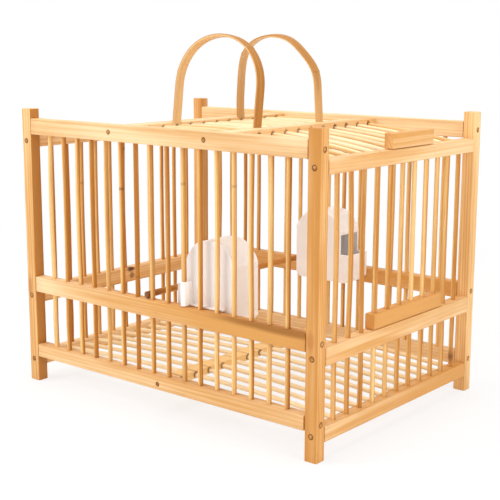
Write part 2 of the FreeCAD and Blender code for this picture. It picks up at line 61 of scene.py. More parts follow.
Span = tuple[float, float]
Triple = tuple[float, float, float]
Socket = bpy.types.NodeSocket
Mesh = bpy.types.Mesh
Material = bpy.types.Material
Piece = bpy.types.Object


class Axis(Enum):
    """Direction that a length of wood runs in."""

    X = 0
    Y = 1
    Z = 2

    @property
    def cross(self) -> tuple[int, int]:
        """The two directions across this one."""
        return ((1, 2), (2, 0), (0, 1))[self.value]


class Body(Enum):
    """Part of the cage that moves as one."""

    CAGE = "cage"
    DOOR = "door"
    FRONT_FEEDER = "front_feeder"
    BACK_FEEDER = "back_feeder"
    PERCH = "perch"


class Slot(Enum):
    """Name of a material slot, kept with each piece; nothing in this script reads it."""

    POST = "post_wood"
    RAIL = "rail_wood"
    STICK = "stick_bamboo"
    PEG = "peg_bamboo"
    STRIP = "handle_strip_bamboo"
    FEEDER = "feeder_plastic"


def shade(red: int, green: int, blue: int) -> Triple:
    """Turn a display colour of 0 to 255 into the linear values that shaders use.

    Args:
        red: Red of the display colour.
        green: Green of the display colour.
        blue: Blue of the display colour.

    Returns:
        The three linear values.
    """
    levels = (red / 255.0, green / 255.0, blue / 255.0)
    return tuple(v / 12.92 if v <= 0.04045 else ((v + 0.055) / 1.055) ** 2.4 for v in levels)


def turns(count: int) -> list[float]:
    """The angles of equal steps round a circle."""
    return [step / count * math.tau for step in range(count)]


def fade(away: float, reach: float) -> float:
    """How much of a mark or a bend is left at a distance from its middle."""
    return math.exp(-(away / reach) ** 2)


def between(ends: Span, share: float) -> float:
    """The value at a share of the way from one end to the other."""
    return ends[0] + (ends[1] - ends[0]) * share


def grain_shift(draws: random.Random) -> Vector:
    """Draw the place in the grain that a piece is cut from."""
    return Vector((draws.uniform(-1, 1), draws.uniform(-1, 1), draws.uniform(-4, 4)))


def rounded(half_u: float, half_v: float, ease: float, flat_steps: int = 3,
            corner_steps: int = 3) -> list[Span]:
    """Draw a rectangular cross-section with rounded corners.

    Args:
        half_u: Half the width.
        half_v: Half the height.
        ease: Radius of the corners.
        flat_steps: Points along each flat side.
        corner_steps: Steps round each corner.

    Returns:
        Points around the section.
    """
    corners = []
    for number, (side_u, side_v) in enumerate(CORNERS):
        angles = [(number + step / corner_steps) * math.pi / 2 for step in range(corner_steps + 1)]
        corners.append([(side_u * (half_u - ease) + ease * math.cos(angle),
                         side_v * (half_v - ease) + ease * math.sin(angle)) for angle in angles])
    points = []
    for corner, following in zip(corners, corners[1:] + corners[:1]):
        points.extend(corner)
        for step in range(1, flat_steps + 1):
            share = step / (flat_steps + 1)
            points.append(tuple(between(ends, share) for ends in zip(corner[-1], following[0])))
    return points


@dataclass(frozen=True)
class Bend:
    """The large upright circle that a deck stick follows."""

    crown: float
    ring: float

    def height(self, along: float) -> float:
        """The height of the circle at a place along the cage."""
        return self.crown - self.ring + math.sqrt(self.ring ** 2 - along ** 2)


@dataclass(frozen=True)
class Solid:
    """One separate solid of a CAD node, held by its lowest and highest corners."""

    low: Vector
    high: Vector
    bend: Bend | None = None

    @cached_property
    def centre(self) -> Vector:
        """The middle of the solid."""
        return (self.low + self.high) / 2

    @cached_property
    def size(self) -> Vector:
        """The solid's three sides."""
        return self.high - self.low

    @cached_property
    def axis(self) -> Axis:
        """The direction of the longest side."""
        return Axis(max(range(3), key=lambda side: self.size[side]))

    @property
    def ends(self) -> Span:
        """Where the longest side starts and ends."""
        return self.low[self.axis.value], self.high[self.axis.value]

    @property
    def radius(self) -> float:
        """Half the thickness of a round solid."""
        return self.size[self.axis.cross[0]] / 2

    def meets(self, other: "Solid") -> bool:
        """Say whether the two solids' boxes overlap."""
        return all(self.low[k] < other.high[k] and other.low[k] < self.high[k] for k in range(3))

    def beside(self, place: float, off_u: float, off_v: float) -> Vector:
        """Find a point off the middle line.

        Args:
            place: Place along the longest side.
            off_u: How far off the line it is in the first direction across.
            off_v: How far off the line it is in the second direction across.

        Returns:
            The point.
        """
        spot = self.centre.copy()
        spot[self.axis.value] = place
        if self.bend:
            spot.z = self.bend.height(place)
        side_u, side_v = self.axis.cross
        spot[side_u] += off_u
        spot[side_v] += off_v
        return spot

    def bent(self) -> "Solid":
        """Find the circle of a stick that is bent upwards along X.

        Returns:
            The same solid with its bend.
        """
        radius = self.size.y / 2
        half = self.size.x / 2
        sag = self.size.z - 2 * radius
        for _ in range(4):
            ring = (half ** 2 + sag ** 2) / (2 * sag)
            sag = self.size.z - radius - radius * ring / (ring - sag)
        ring = (half ** 2 + sag ** 2) / (2 * sag)
        return Solid(self.low, self.high, Bend(self.high.z - radius, ring))


def solids_of(node: str) -> list[Solid]:
    """Find the separate solids of a CAD node.

    Args:
        node: Name of the node.

    Returns:
        Its solids, in order of their middles.
    """
    mesh = bmesh.new()
    mesh.from_mesh(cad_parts[node].data)
    bmesh.ops.remove_doubles(mesh, verts=mesh.verts, dist=SAME_POINT)
    mesh.verts.index_update()
    found = []
    seen = set()
    for start in mesh.verts:
        if start.index in seen:
            continue
        seen.add(start.index)
        waiting = [start]
        low = start.co.copy()
        high = start.co.copy()
        while waiting:
            point = waiting.pop()
            for side in range(3):
                low[side] = min(low[side], point.co[side])
                high[side] = max(high[side], point.co[side])
            for edge in point.link_edges:
                other = edge.other_vert(point)
                if other.index not in seen:
                    seen.add(other.index)
                    waiting.append(other)
        found.append(Solid(low, high))
    mesh.free()
    if node in BENT_NODES:
        found = [solid.bent() for solid in found]
    return sorted(found, key=lambda solid: tuple(round(v, 6) for v in solid.centre))


@dataclass(frozen=True)
class Figure:
    """Noise drawn out along the grain, in cycles a metre."""

    across: float
    along: float
    detail: float = 2.0
    twist: float = 0.0


class NodeBoard:
    """A material's node tree, with short ways to add and join nodes."""

    def __init__(self, tree: bpy.types.NodeTree) -> None:
        """Start from an empty tree."""
        self.tree = tree
        self.tree.nodes.clear()

    def node(self, kind: str, inputs: dict | None = None, **settings: object) -> bpy.types.Node:
        """Add a node.

        Args:
            kind: Blender's name for the node type.
            inputs: Values or sockets for the node's inputs, by name or number.
            settings: Properties of the node.

        Returns:
            The new node.
        """
        made = self.tree.nodes.new(kind)
        for name, value in settings.items():
            setattr(made, name, value)
        for key, value in (inputs or {}).items():
            if isinstance(value, Socket):
                self.tree.links.new(value, made.inputs[key])
            else:
                made.inputs[key].default_value = value
        return made

    def carried(self, name: str, output: str = "Fac") -> Socket:
        """Read a number that the mesh carries, or a vector."""
        return self.node("ShaderNodeAttribute", attribute_name=name).outputs[output]

    def place(self) -> Socket:
        """Read the place on the cage, in metres."""
        return self.node("ShaderNodeTexCoord").outputs["Object"]

    def noise(self, grain: Socket, figure: Figure) -> Socket:
        """Add noise drawn out along the grain.

        Args:
            grain: Grain coordinates, in metres, with the grain along Z.
            figure: The noise to add.

        Returns:
            The noise value, about 0 to 1.
        """
        stretched = self.vectors("MULTIPLY", grain, (figure.across, figure.across, figure.along))
        inputs = {"Vector": stretched, "Scale": 1.0, "Detail": figure.detail, "Distortion": figure.twist}
        return self.node("ShaderNodeTexNoise", inputs).outputs["Fac"]

    def maths(self, operation: str, first: object, second: object = 0.0, third: object = 0.0) -> Socket:
        """Add one sum.

        Args:
            operation: Blender's name for the operation.
            first: First number or socket.
            second: Second number or socket.
            third: Third number or socket, for operations that take one.

        Returns:
            The result.
        """
        inputs = {0: first, 1: second, 2: third}
        return self.node("ShaderNodeMath", inputs, operation=operation).outputs[0]

    def vectors(self, operation: str, first: Socket, second: Triple = (0.0, 0.0, 0.0)) -> Socket:
        """Add one sum of vectors.

        Args:
            operation: Blender's name for the operation.
            first: First vector.
            second: Second vector, for operations that take one.

        Returns:
            The result, a number for a length.
        """
        made = self.node("ShaderNodeVectorMath", {0: first, 1: second}, operation=operation)
        return made.outputs["Value" if operation == "LENGTH" else "Vector"]

    def remap(self, value: Socket, low: float, high: float, start: float = 0.0, end: float = 1.0) -> Socket:
        """Stretch a range of values smoothly onto another.

        Args:
            value: Value to stretch.
            low: Value that gives start.
            high: Value that gives end.
            start: Result at low.
            end: Result at high.

        Returns:
            The stretched value.
        """
        inputs = {"Value": value, "From Min": low, "From Max": high, "To Min": start, "To Max": end}
        return self.node("ShaderNodeMapRange", inputs, interpolation_type="SMOOTHSTEP").outputs[0]

    def blend(self, amount: object, first: object, second: object, kind: str = "MIX") -> Socket:
        """Blend two colours.

        Args:
            amount: Share of the second colour, a number or a socket.
            first: First colour, as linear values or a socket.
            second: Second colour, as linear values or a socket.
            kind: Blender's name for the way of blending.

        Returns:
            The blended colour.
        """
        first, second = ((*c, 1.0) if isinstance(c, tuple) else c for c in (first, second))
        inputs = {0: amount, 6: first, 7: second}
        return self.node("ShaderNodeMix", inputs, data_type="RGBA", blend_type=kind).outputs[2]

    def mixed(self, output: str, share: Socket, first: bpy.types.Node, second: bpy.types.Node) -> None:
        """Finish the tree with a mix of two shaders.

        Args:
            output: Blender's name for the output node.
            share: Share of the second shader.
            first: First shader.
            second: Second shader.
        """
        inputs = {0: share, 1: first.outputs[0], 2: second.outputs[0]}
        self.node(output, {"Surface": self.node("ShaderNodeMixShader", inputs).outputs[0]})

    def surface(self, colour: Socket, roughness: Socket, height: Socket, depth: float,
                **settings: object) -> None:
        """Finish the tree with one shader.

        Args:
            colour: Base colour.
            roughness: Roughness.
            height: Relief, 0 to 1.
            depth: How deep the relief is, in metres.
            settings: Other constant inputs of the shader, with _ for spaces.
        """
        bump = self.node("ShaderNodeBump", {"Strength": 1.0, "Distance": depth, "Height": height})
        inputs = {"Base Color": colour, "Roughness": roughness, "Normal": bump.outputs[0]}
        inputs.update({name.replace("_", " "): value for name, value in settings.items()})
        shader = self.node("ShaderNodeBsdfPrincipled", inputs)
        self.node("ShaderNodeOutputMaterial", {"Surface": shader.outputs[0]})


def new_board(name: str) -> tuple[Material, NodeBoard]:
    """Make a material with an empty node tree.

    Args:
        name: Name of the material.

    Returns:
        The material and its board.
    """
    material = bpy.data.materials.new(name)
    material.use_nodes = True
    return material, NodeBoard(material.node_tree)


@dataclass(frozen=True)
class DarkPatch:
    """A dark, ragged patch in a length of wood, such as a knot."""

    place: Triple
    reach: Triple
    colour: Triple
    strength: float = 1.0

    def over(self, board: NodeBoard, colour: Socket) -> Socket:
        """Lay the patch over the wood.

        Args:
            board: Node tree to add to.
            colour: Colour of the wood so far.

        Returns:
            The colour with the patch.
        """
        away = board.vectors("DIVIDE", board.vectors("SUBTRACT", board.place(), self.place), self.reach)
        rough = board.node("ShaderNodeTexNoise", {"Vector": away, "Scale": 1.5}).outputs[0]
        ragged = board.maths("MULTIPLY_ADD", rough, 0.5, board.vectors("LENGTH", away))
        return board.blend(board.remap(ragged, 0.6, 1.35, self.strength, 0.0), colour, self.colour)


@dataclass(frozen=True)
class PaintedHoleShade:
    """Painted shade: dark rims around a row of holes that sticks pass through, standing for the shade in the
    gaps there.
    """

    height: float
    reach: float
    colour: Triple
    pitch: float = 21.0 * MM

    def over(self, board: NodeBoard, colour: Socket) -> Socket:
        """Paint shade onto the wood around the row of holes.

        Args:
            board: Node tree to add to.
            colour: Colour of the wood so far.

        Returns:
            The colour with the painted shade.
        """
        place = board.place()
        parts = board.node("ShaderNodeSeparateXYZ", {0: place})
        along = board.maths("DIVIDE", parts.outputs["Y"], self.pitch)
        share = board.maths("SUBTRACT", board.maths("FRACT", along), 0.5)
        across = board.maths("MULTIPLY", share, self.pitch)
        above = board.maths("SUBTRACT", parts.outputs["Z"], self.height)
        squares = board.maths("ADD", board.maths("MULTIPLY", across, across),
                              board.maths("MULTIPLY", above, above))
        ragged = board.node("ShaderNodeTexNoise", {"Vector": place, "Scale": 600.0, "Detail": 2.0})
        reach = board.maths("MULTIPLY_ADD", ragged.outputs["Fac"], 0.5 * self.reach,
                            board.maths("SQRT", squares))
        hole = board.node("ShaderNodeTexWhiteNoise", {"W": board.maths("FLOOR", along)},
                          noise_dimensions="1D")
        amount = board.remap(reach, 0.75 * self.reach, 1.35 * self.reach, 1.0, 0.0)
        amount = board.maths("MULTIPLY", amount, board.remap(hole.outputs["Value"], 0.0, 1.0, 0.55, 1.0))
        return board.blend(amount, colour, self.colour)


@dataclass(frozen=True)
class TimberFinish:
    """Planed and lightly varnished wood with straight growth rings."""

    name: str
    pale: Triple
    deep: Triple
    ring_gap: float
    ring_share: float
    marks: tuple[DarkPatch | PaintedHoleShade, ...] = ()
    roughness: float = 0.5
    gloss: float = 0.35
    relief: float = 0.1 * MM
    base_share: float = 0.16
    streak_share: float = 0.24
    broad_share: float = 0.34
    pore_share: float = 0.16
    wear: Span = (0.04, 0.2)
    broad: Figure = Figure(45.0, 6.0)
    streak: Figure = Figure(430.0, 7.0, 3.0, 0.3)
    fibre: Figure = Figure(2300.0, 45.0)
    pore: Figure = Figure(1500.0, 36.0, 1.0)
    pore_shade: Triple = shade(150, 92, 40)
    worn_shade: Triple = shade(190, 122, 56)
    # Colour of the painted shade in the bores and on shaded faces.
    painted_shade_colour: Triple = shade(104, 56, 20)

    def rings(self, board: NodeBoard, grain: Socket) -> Socket:
        """Draw the growth rings, which lean a little along the length.

        Args:
            board: Node tree to add to.
            grain: Grain coordinates.

        Returns:
            The rings, 0 to 1.
        """
        tilted = board.node("ShaderNodeMapping", {"Vector": grain, "Scale": (1.0, 1.0, 0.035),
                                                  "Rotation": (0.12, 0.08, 0.0)})
        inputs = {"Vector": tilted.outputs[0], "Scale": WAVE_LENGTH / self.ring_gap, "Distortion": 2.4,
                  "Detail": 2.0, "Detail Scale": 1.0, "Detail Roughness": 0.55}
        wave = board.node("ShaderNodeTexWave", inputs, wave_type="RINGS", rings_direction="Z")
        return board.maths("POWER", wave.outputs["Fac"], 3.0)

    def material(self) -> Material:
        """Build the material.

        Returns:
            The finished material.
        """
        material, board = new_board(self.name)
        grain = board.carried("grain", "Vector")
        broad = board.noise(grain, self.broad)
        streak = board.noise(grain, self.streak)
        pore = board.remap(board.noise(grain, self.pore), 0.66, 0.76)
        total = board.maths("MULTIPLY_ADD", self.rings(board, grain), self.ring_share,
                            self.base_share)
        total = board.maths("MULTIPLY_ADD", board.remap(streak, 0.3, 0.72), self.streak_share, total)
        total = board.maths("MULTIPLY_ADD", board.remap(broad, *NOISE_SPAN), self.broad_share, total)
        total = board.maths("ADD", total, board.carried("tone"))
        colour = board.blend(board.remap(total, 0.0, 1.0), self.pale, self.deep)
        pitted = board.maths("MULTIPLY", pore, self.pore_share)
        colour = board.blend(pitted, colour, self.pore_shade, "MULTIPLY")
        worn = board.maths("MULTIPLY", board.carried("edge"), board.remap(broad, 0.35, 0.65, *self.wear))
        colour = board.blend(worn, colour, self.worn_shade)
        # Painted shade: the mark number darkens the bore walls and the faces towards +X.
        colour = board.blend(board.carried("mark"), colour, self.painted_shade_colour)
        # Dark patches, and painted shade round the rows of holes.
        for mark in self.marks:
            colour = mark.over(board, colour)
        roughness = board.remap(streak, 0.25, 0.8, self.roughness - 0.06, self.roughness + 0.1)
        height = board.blend(0.5, board.noise(grain, self.fibre), streak)
        height = board.blend(pore, height, (0.0, 0.0, 0.0))
        board.surface(colour, roughness, height, self.relief, Specular_IOR_Level=self.gloss)
        return material


@dataclass(frozen=True)
class BambooFinish:
    """Split bamboo, with a pale skin side, a deeper pith side and dark nodes."""

    name: str
    skin: Triple
    flesh: Triple
    pith: Triple
    roughness: float = 0.42
    gloss: float = 0.35
    relief: float = 0.08 * MM
    broad: Figure = Figure(60.0, 8.0)
    streak: Figure = Figure(900.0, 9.0, 3.0, 0.2)
    fibre: Figure = Figure(3000.0, 40.0, 1.0)
    line_shade: Triple = shade(150, 88, 34)
    # Colour of the dark nodes, and of the painted shade where sticks enter beams.
    node_and_painted_shade: Triple = shade(112, 58, 20)

    def material(self) -> Material:
        """Build the material.

        Returns:
            The finished material.
        """
        material, board = new_board(self.name)
        grain = board.carried("grain", "Vector")
        broad = board.noise(grain, self.broad)
        streak = board.noise(grain, self.streak)
        fibre = board.noise(grain, self.fibre)
        # The skin number is the real skin and pith; on the wall sticks it is turned towards the front lamp as
        # painted light.
        side = board.maths("ADD", board.remap(streak, *NOISE_SPAN, -0.35, 0.35), board.carried("skin"))
        colour = board.blend(board.remap(side, -0.1, 0.9), self.flesh, self.skin)
        colour = board.blend(board.remap(side, 0.15, -0.8), colour, self.pith)
        tone = board.maths("ADD", board.remap(broad, *NOISE_SPAN, -0.3, 0.3), board.carried("tone"))
        colour = board.blend(board.remap(tone, 0.0, 1.3, 0.0, 0.75), colour, self.pith)
        colour = board.blend(board.remap(tone, 0.0, -1.3, 0.0, 0.7), colour, self.skin)
        lines = board.remap(fibre, 0.56, 0.74, 0.0, 0.3)
        colour = board.blend(lines, colour, self.line_shade, "MULTIPLY")
        # Dark nodes, and painted shade at the beam holes.
        colour = board.blend(board.carried("mark"), colour, self.node_and_painted_shade)
        roughness = board.remap(side, -1.0, 1.0, self.roughness + 0.14, self.roughness - 0.06)
        height = board.blend(0.4, fibre, streak)
        board.surface(colour, roughness, height, self.relief, Specular_IOR_Level=self.gloss)
        return material


@dataclass(frozen=True)
class PlasticFinish:
    """Glossy moulded plastic with faint flow marks and a little dust near the tray."""

    name: str
    body: Triple
    dust: Triple
    relief: float = 0.02 * MM
    roughness: Span = (0.28, 0.4)
    flow: Figure = Figure(55.0, 26.0, 3.0, 0.8)
    speck: Figure = Figure(1400.0, 1400.0)
    glow: float = 0.35
    glow_reach: float = 3.5 * MM
    glow_tint: Triple = (1.0, 0.96, 0.93)

    def material(self) -> Material:
        """Build the material.

        Returns:
            The finished material.
        """
        material, board = new_board(self.name)
        grain = board.carried("grain", "Vector")
        flow = board.noise(grain, self.flow)
        speck = board.noise(grain, self.speck)
        dusty = board.maths("MULTIPLY", board.carried("mark"), board.remap(flow, 0.3, 0.75, 0.1, 0.55))
        colour = board.blend(board.remap(flow, *NOISE_SPAN, 0.0, 0.22), self.body, self.dust)
        colour = board.blend(dusty, colour, self.dust)
        roughness = board.remap(flow, *NOISE_SPAN, *self.roughness)
        board.surface(colour, roughness, speck, self.relief, Subsurface_Weight=self.glow,
                      Subsurface_Radius=self.glow_tint, Subsurface_Scale=self.glow_reach)
        return material


@dataclass
class Dot:
    """One point of a skin, with the numbers that its finish reads."""

    place: Vector
    grain: Vector | None = None
    tone: float = 0.0
    skin: float = 0.0
    mark: float = 0.0


@dataclass
class Draft:
    """Points and faces of one mesh in the making."""

    dots: list[Dot] = field(default_factory=list)
    faces: list[tuple[int, ...]] = field(default_factory=list)

    def loft(self, rings: list[list[Dot]]) -> None:
        """Join rings of points into one closed skin.

        Args:
            rings: Rings of the same length, from one end to the other.
        """
        count = len(rings[0])
        numbers = []
        for ring in rings:
            start = len(self.dots)
            numbers.append(tuple(range(start, start + count)))
            self.dots.extend(ring)
        self.faces.append(numbers[0][::-1])
        for near, far in zip(numbers, numbers[1:]):
            for k in range(count):
                after = (k + 1) % count
                self.faces.append((near[k], near[after], far[after], far[k]))
        self.faces.append(numbers[-1])

    def mesh(self, name: str) -> Mesh:
        """Turn the draft into a mesh.

        Args:
            name: Name of the mesh.

        Returns:
            The mesh, with the numbers that its points carry.
        """
        made = bpy.data.meshes.new(name)
        made.from_pydata([dot.place for dot in self.dots], [], self.faces)
        if self.dots[0].grain is not None:
            numbers = {key: [getattr(dot, key) for dot in self.dots] for key in ("tone", "skin", "mark")}
            carry(made, [dot.grain for dot in self.dots], numbers)
        return made


def carry(mesh: Mesh, grain: list[Vector], numbers: dict[str, list[float]]) -> None:
    """Store grain coordinates and numbers on a mesh's points.

    Args:
        mesh: Mesh to store on.
        grain: Grain coordinates, one for each point.
        numbers: Lists of numbers by name, one for each point.
    """
    vectors = mesh.attributes.new("grain", "FLOAT_VECTOR", "POINT")
    vectors.data.foreach_set("vector", [v for place in grain for v in place])
    for name, values in numbers.items():
        mesh.attributes.new(name, "FLOAT", "POINT").data.foreach_set("value", values)


def worked(mesh: Mesh, kind: str, **settings: object) -> Mesh:
    """Put the work of one modifier into a mesh.

    Args:
        mesh: Mesh to work on.
        kind: Blender's name for the modifier type.
        settings: Properties of the modifier.

    Returns:
        The worked mesh.
    """
    holder = bpy.data.objects.new("holder", mesh)
    bpy.context.scene.collection.objects.link(holder)
    modifier = holder.modifiers.new("work", kind)
    for name, value in settings.items():
        setattr(modifier, name, value)
    graph = bpy.context.evaluated_depsgraph_get()
    made = bpy.data.meshes.new_from_object(holder.evaluated_get(graph))
    made.name = mesh.name
    bpy.data.objects.remove(holder)
    return made


def cut_away(mesh: Mesh, cutter: Mesh) -> Mesh:
    """Cut one mesh out of another.

    Args:
        mesh: Mesh to cut.
        cutter: Mesh to cut away.

    Returns:
        The mesh that is left.
    """
    drill = bpy.data.objects.new("drill", cutter)
    bpy.context.scene.collection.objects.link(drill)
    left = worked(mesh, "BOOLEAN", operation="DIFFERENCE", solver="EXACT", object=drill)
    bpy.data.objects.remove(drill)
    return left


def set_piece(name: str, mesh: Mesh, node: str, body: Body, material: Material,
              sharp: float = 40.0) -> Piece:
    """Put a finished mesh into the scene in place of a CAD node.

    Args:
        name: Name of the piece.
        mesh: Its mesh.
        node: CAD node that it stands for.
        body: Body that it moves with.
        material: Its material.
        sharp: Edges turned by more than this many degrees stay crisp.

    Returns:
        The piece, whose flat faces keep flat shading up to their rounded edges.
    """
    mesh.validate()
    for face in mesh.polygons:
        face.use_smooth = True
    mesh.set_sharp_from_angle(angle=math.radians(sharp))
    mesh = worked(mesh, "WEIGHTED_NORMAL", keep_sharp=True)
    mesh.materials.clear()
    mesh.materials.append(material)
    piece = bpy.data.objects.new(name, mesh)
    bpy.context.scene.collection.objects.link(piece)
    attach(piece, body.value)
    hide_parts(node)
    LOG.info("%s stands for %s, %d faces", name, node, len(mesh.polygons))
    return piece


@dataclass(frozen=True)
class Notch:
    """A leaning box that is cut out of a length of wood."""

    middle: Vector
    size: Vector
    lean: float


@dataclass
class Timber:
    """One sawn and eased length of wood."""

    node: str
    slot: Slot
    seed: int
    body: Body = Body.CAGE
    ease: float = 1.0 * MM
    end_ease: float = 0.5 * MM
    wave: float = 0.22 * MM
    waves: float = 22.0
    near_end: float = 0.3
    end_gap: float = 0.0
    section_gap: float = 12.0 * MM
    bore_clear: float = 0.12 * MM
    slide_clear: float = 0.45 * MM
    bore_past: float = 1.0 * MM
    bore_end: float = 0.3 * MM
    bore_sides: int = 28
    notches: tuple[Notch, ...] = ()
    slides: tuple[Solid, ...] = ()
    tones: Span = (0.0, 0.0)
    # Painted light and shade: the three numbers below tint and darken the faces that look towards +X, for how
    # the lamps light that side or leave it in shade.
    right_tone: float = 0.0
    right_mark: float = 0.0
    painted_face_depth: float = 0.45 * MM
    # Painted shade: bore walls deeper than the depth below are darkened, standing for the shade inside the
    # holes.
    hole_painted_shade: float = 0.7
    hole_depth: float = 0.8 * MM
    edge_reach: float = 1.1
    sharp: float = 30.0

    def stations(self, low: float, high: float) -> list[Span]:
        """List the cross-sections along the length.

        Args:
            low: Start of the length.
            high: End of the length.

        Returns:
            Places along the length, each with how far the section is drawn in there.
        """
        ease = self.end_ease
        near = self.near_end * ease
        inner = max(2, round((high - low - 2 * ease) / self.section_gap))
        body = [low + ease + (high - low - 2 * ease) * step / inner for step in range(inner + 1)]
        start = [(low, ease), (low + near, near)]
        end = [(high - near, near), (high, ease)]
        return start + [(place, 0.0) for place in body] + end

    def worn(self, place: float, face: int) -> float:
        """How far a face is planed in at a place along the length."""
        spot = Vector((place * self.waves, face * 7.3, self.seed * 3.1))
        return self.wave * (0.5 + 0.5 * noise.noise(spot))

    def blank(self, solid: Solid) -> Mesh:
        """Make the plain length before it is drilled.

        Args:
            solid: Box of the length.

        Returns:
            Its mesh.
        """
        side_u, side_v = solid.axis.cross
        half_u = solid.size[side_u] / 2
        half_v = solid.size[side_v] / 2
        low, high = solid.ends
        rings = []
        for place, inset in self.stations(low, high - self.end_gap):
            right, left, top, under = (1 - self.worn(place, face) / half for face, half
                                       in enumerate((half_u, half_u, half_v, half_v)))
            section = rounded(half_u - inset, half_v - inset, self.ease)
            rings.append([Dot(solid.beside(place, u * (right if u > 0 else left),
                                           v * (top if v > 0 else under))) for u, v in section])
        draft = Draft()
        draft.loft(rings)
        return draft.mesh(self.node + "_timber")

    def cutter(self, solid: Solid, bores: list[Solid]) -> Mesh:
        """Make the drills and saw cuts as one mesh.

        Args:
            solid: Box of the length.
            bores: Round solids whose holes are drilled.

        Returns:
            The mesh to cut away.
        """
        draft = Draft()
        for bore in bores:
            along = bore.axis.value
            start = solid.low[along] - self.bore_past
            end = solid.high[along] + self.bore_past
            radius = bore.radius + self.slide_clear
            if bore not in self.slides:
                start = max(bore.low[along] - self.bore_end, start)
                end = min(bore.high[along] + self.bore_end, end)
                radius = bore.radius + self.bore_clear
            draft.loft([[Dot(bore.beside(place, radius * math.cos(angle), radius * math.sin(angle)))
                         for angle in turns(self.bore_sides)] for place in (start, end)])
        for notch in self.notches:
            turn = Matrix.Rotation(notch.lean, 3, "X")
            half = notch.size / 2
            draft.loft([[Dot(notch.middle + turn @ Vector((x * half.x, y * half.y, rise * half.z)))
                         for x, y in CORNERS] for rise in (-1, 1)])
        return draft.mesh(self.node + "_drills")

    def dress(self, mesh: Mesh, solid: Solid, drilled: bool) -> None:
        """Give the mesh its grain, worn edges, painted shade inside its holes, and painted light and shade on
        its +X faces.

        Args:
            mesh: Mesh to dress.
            solid: Box of the length.
            drilled: Whether it has holes.
        """
        shift = grain_shift(random.Random(self.seed))
        side_u, side_v = solid.axis.cross
        along = solid.axis.value
        half = solid.size / 2
        grain = []
        numbers = {"tone": [], "mark": [], "edge": []}
        for point in mesh.vertices:
            away = point.co - solid.centre
            grain.append(Vector((away[side_u], away[side_v], away[along])) + shift)
            inside = sorted(half[k] - abs(away[k]) for k in range(3))
            # Painted light and shade on the faces towards +X; painted shade on the bore walls.
            on_painted_face = half.x - away.x < self.painted_face_depth
            in_hole = drilled and inside[0] > self.hole_depth
            tone = between(self.tones, 0.5 + 0.5 * away[along] / half[along])
            numbers["tone"].append(tone + (self.right_tone if on_painted_face else 0.0))
            numbers["mark"].append(self.hole_painted_shade if in_hole else self.right_mark if on_painted_face else 0.0)
            numbers["edge"].append(1.0 if inside[1] < self.edge_reach * self.ease else 0.0)
        carry(mesh, grain, numbers)

    def build(self, rounds: list[Solid], material: Material) -> Piece:
        """Saw, drill and dress the length.

        Args:
            rounds: Sticks and pegs that may pass into the length.
            material: Its material.

        Returns:
            The finished piece.
        """
        solid = Solid(*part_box(self.node))
        bores = [item for item in rounds if item.meets(solid)]
        mesh = self.blank(solid)
        if bores or self.notches:
            mesh = cut_away(mesh, self.cutter(solid, bores))
        self.dress(mesh, solid, bool(bores))
        return set_piece(self.node + "_timber", mesh, self.node, self.body, material, self.sharp)


@dataclass
class Bundle:
    """Round pieces that share one CAD node and are drafted one by one."""

    node: str
    seed: int
    body: Body = Body.CAGE
    slot: ClassVar[Slot]
    kind: ClassVar[str]

    def rings(self, solid: Solid, number: int, draws: random.Random) -> list[list[Dot]]:
        """Draft one piece of the bundle.

        Args:
            solid: Box of the piece.
            number: Place of the piece in the bundle.
            draws: Source of the draws.

        Returns:
            Rings of points, from one end to the other.
        """
        raise NotImplementedError

    def build(self, material: Material) -> Piece:
        """Shape and dress the whole bundle.

        Args:
            material: Its material.

        Returns:
            The finished piece.
        """
        draft = Draft()
        draws = random.Random(self.seed)
        for number, solid in enumerate(solids_of(self.node)):
            draft.loft(self.rings(solid, number, draws))
        name = self.node + self.kind
        return set_piece(name, draft.mesh(name), self.node, self.body, material)


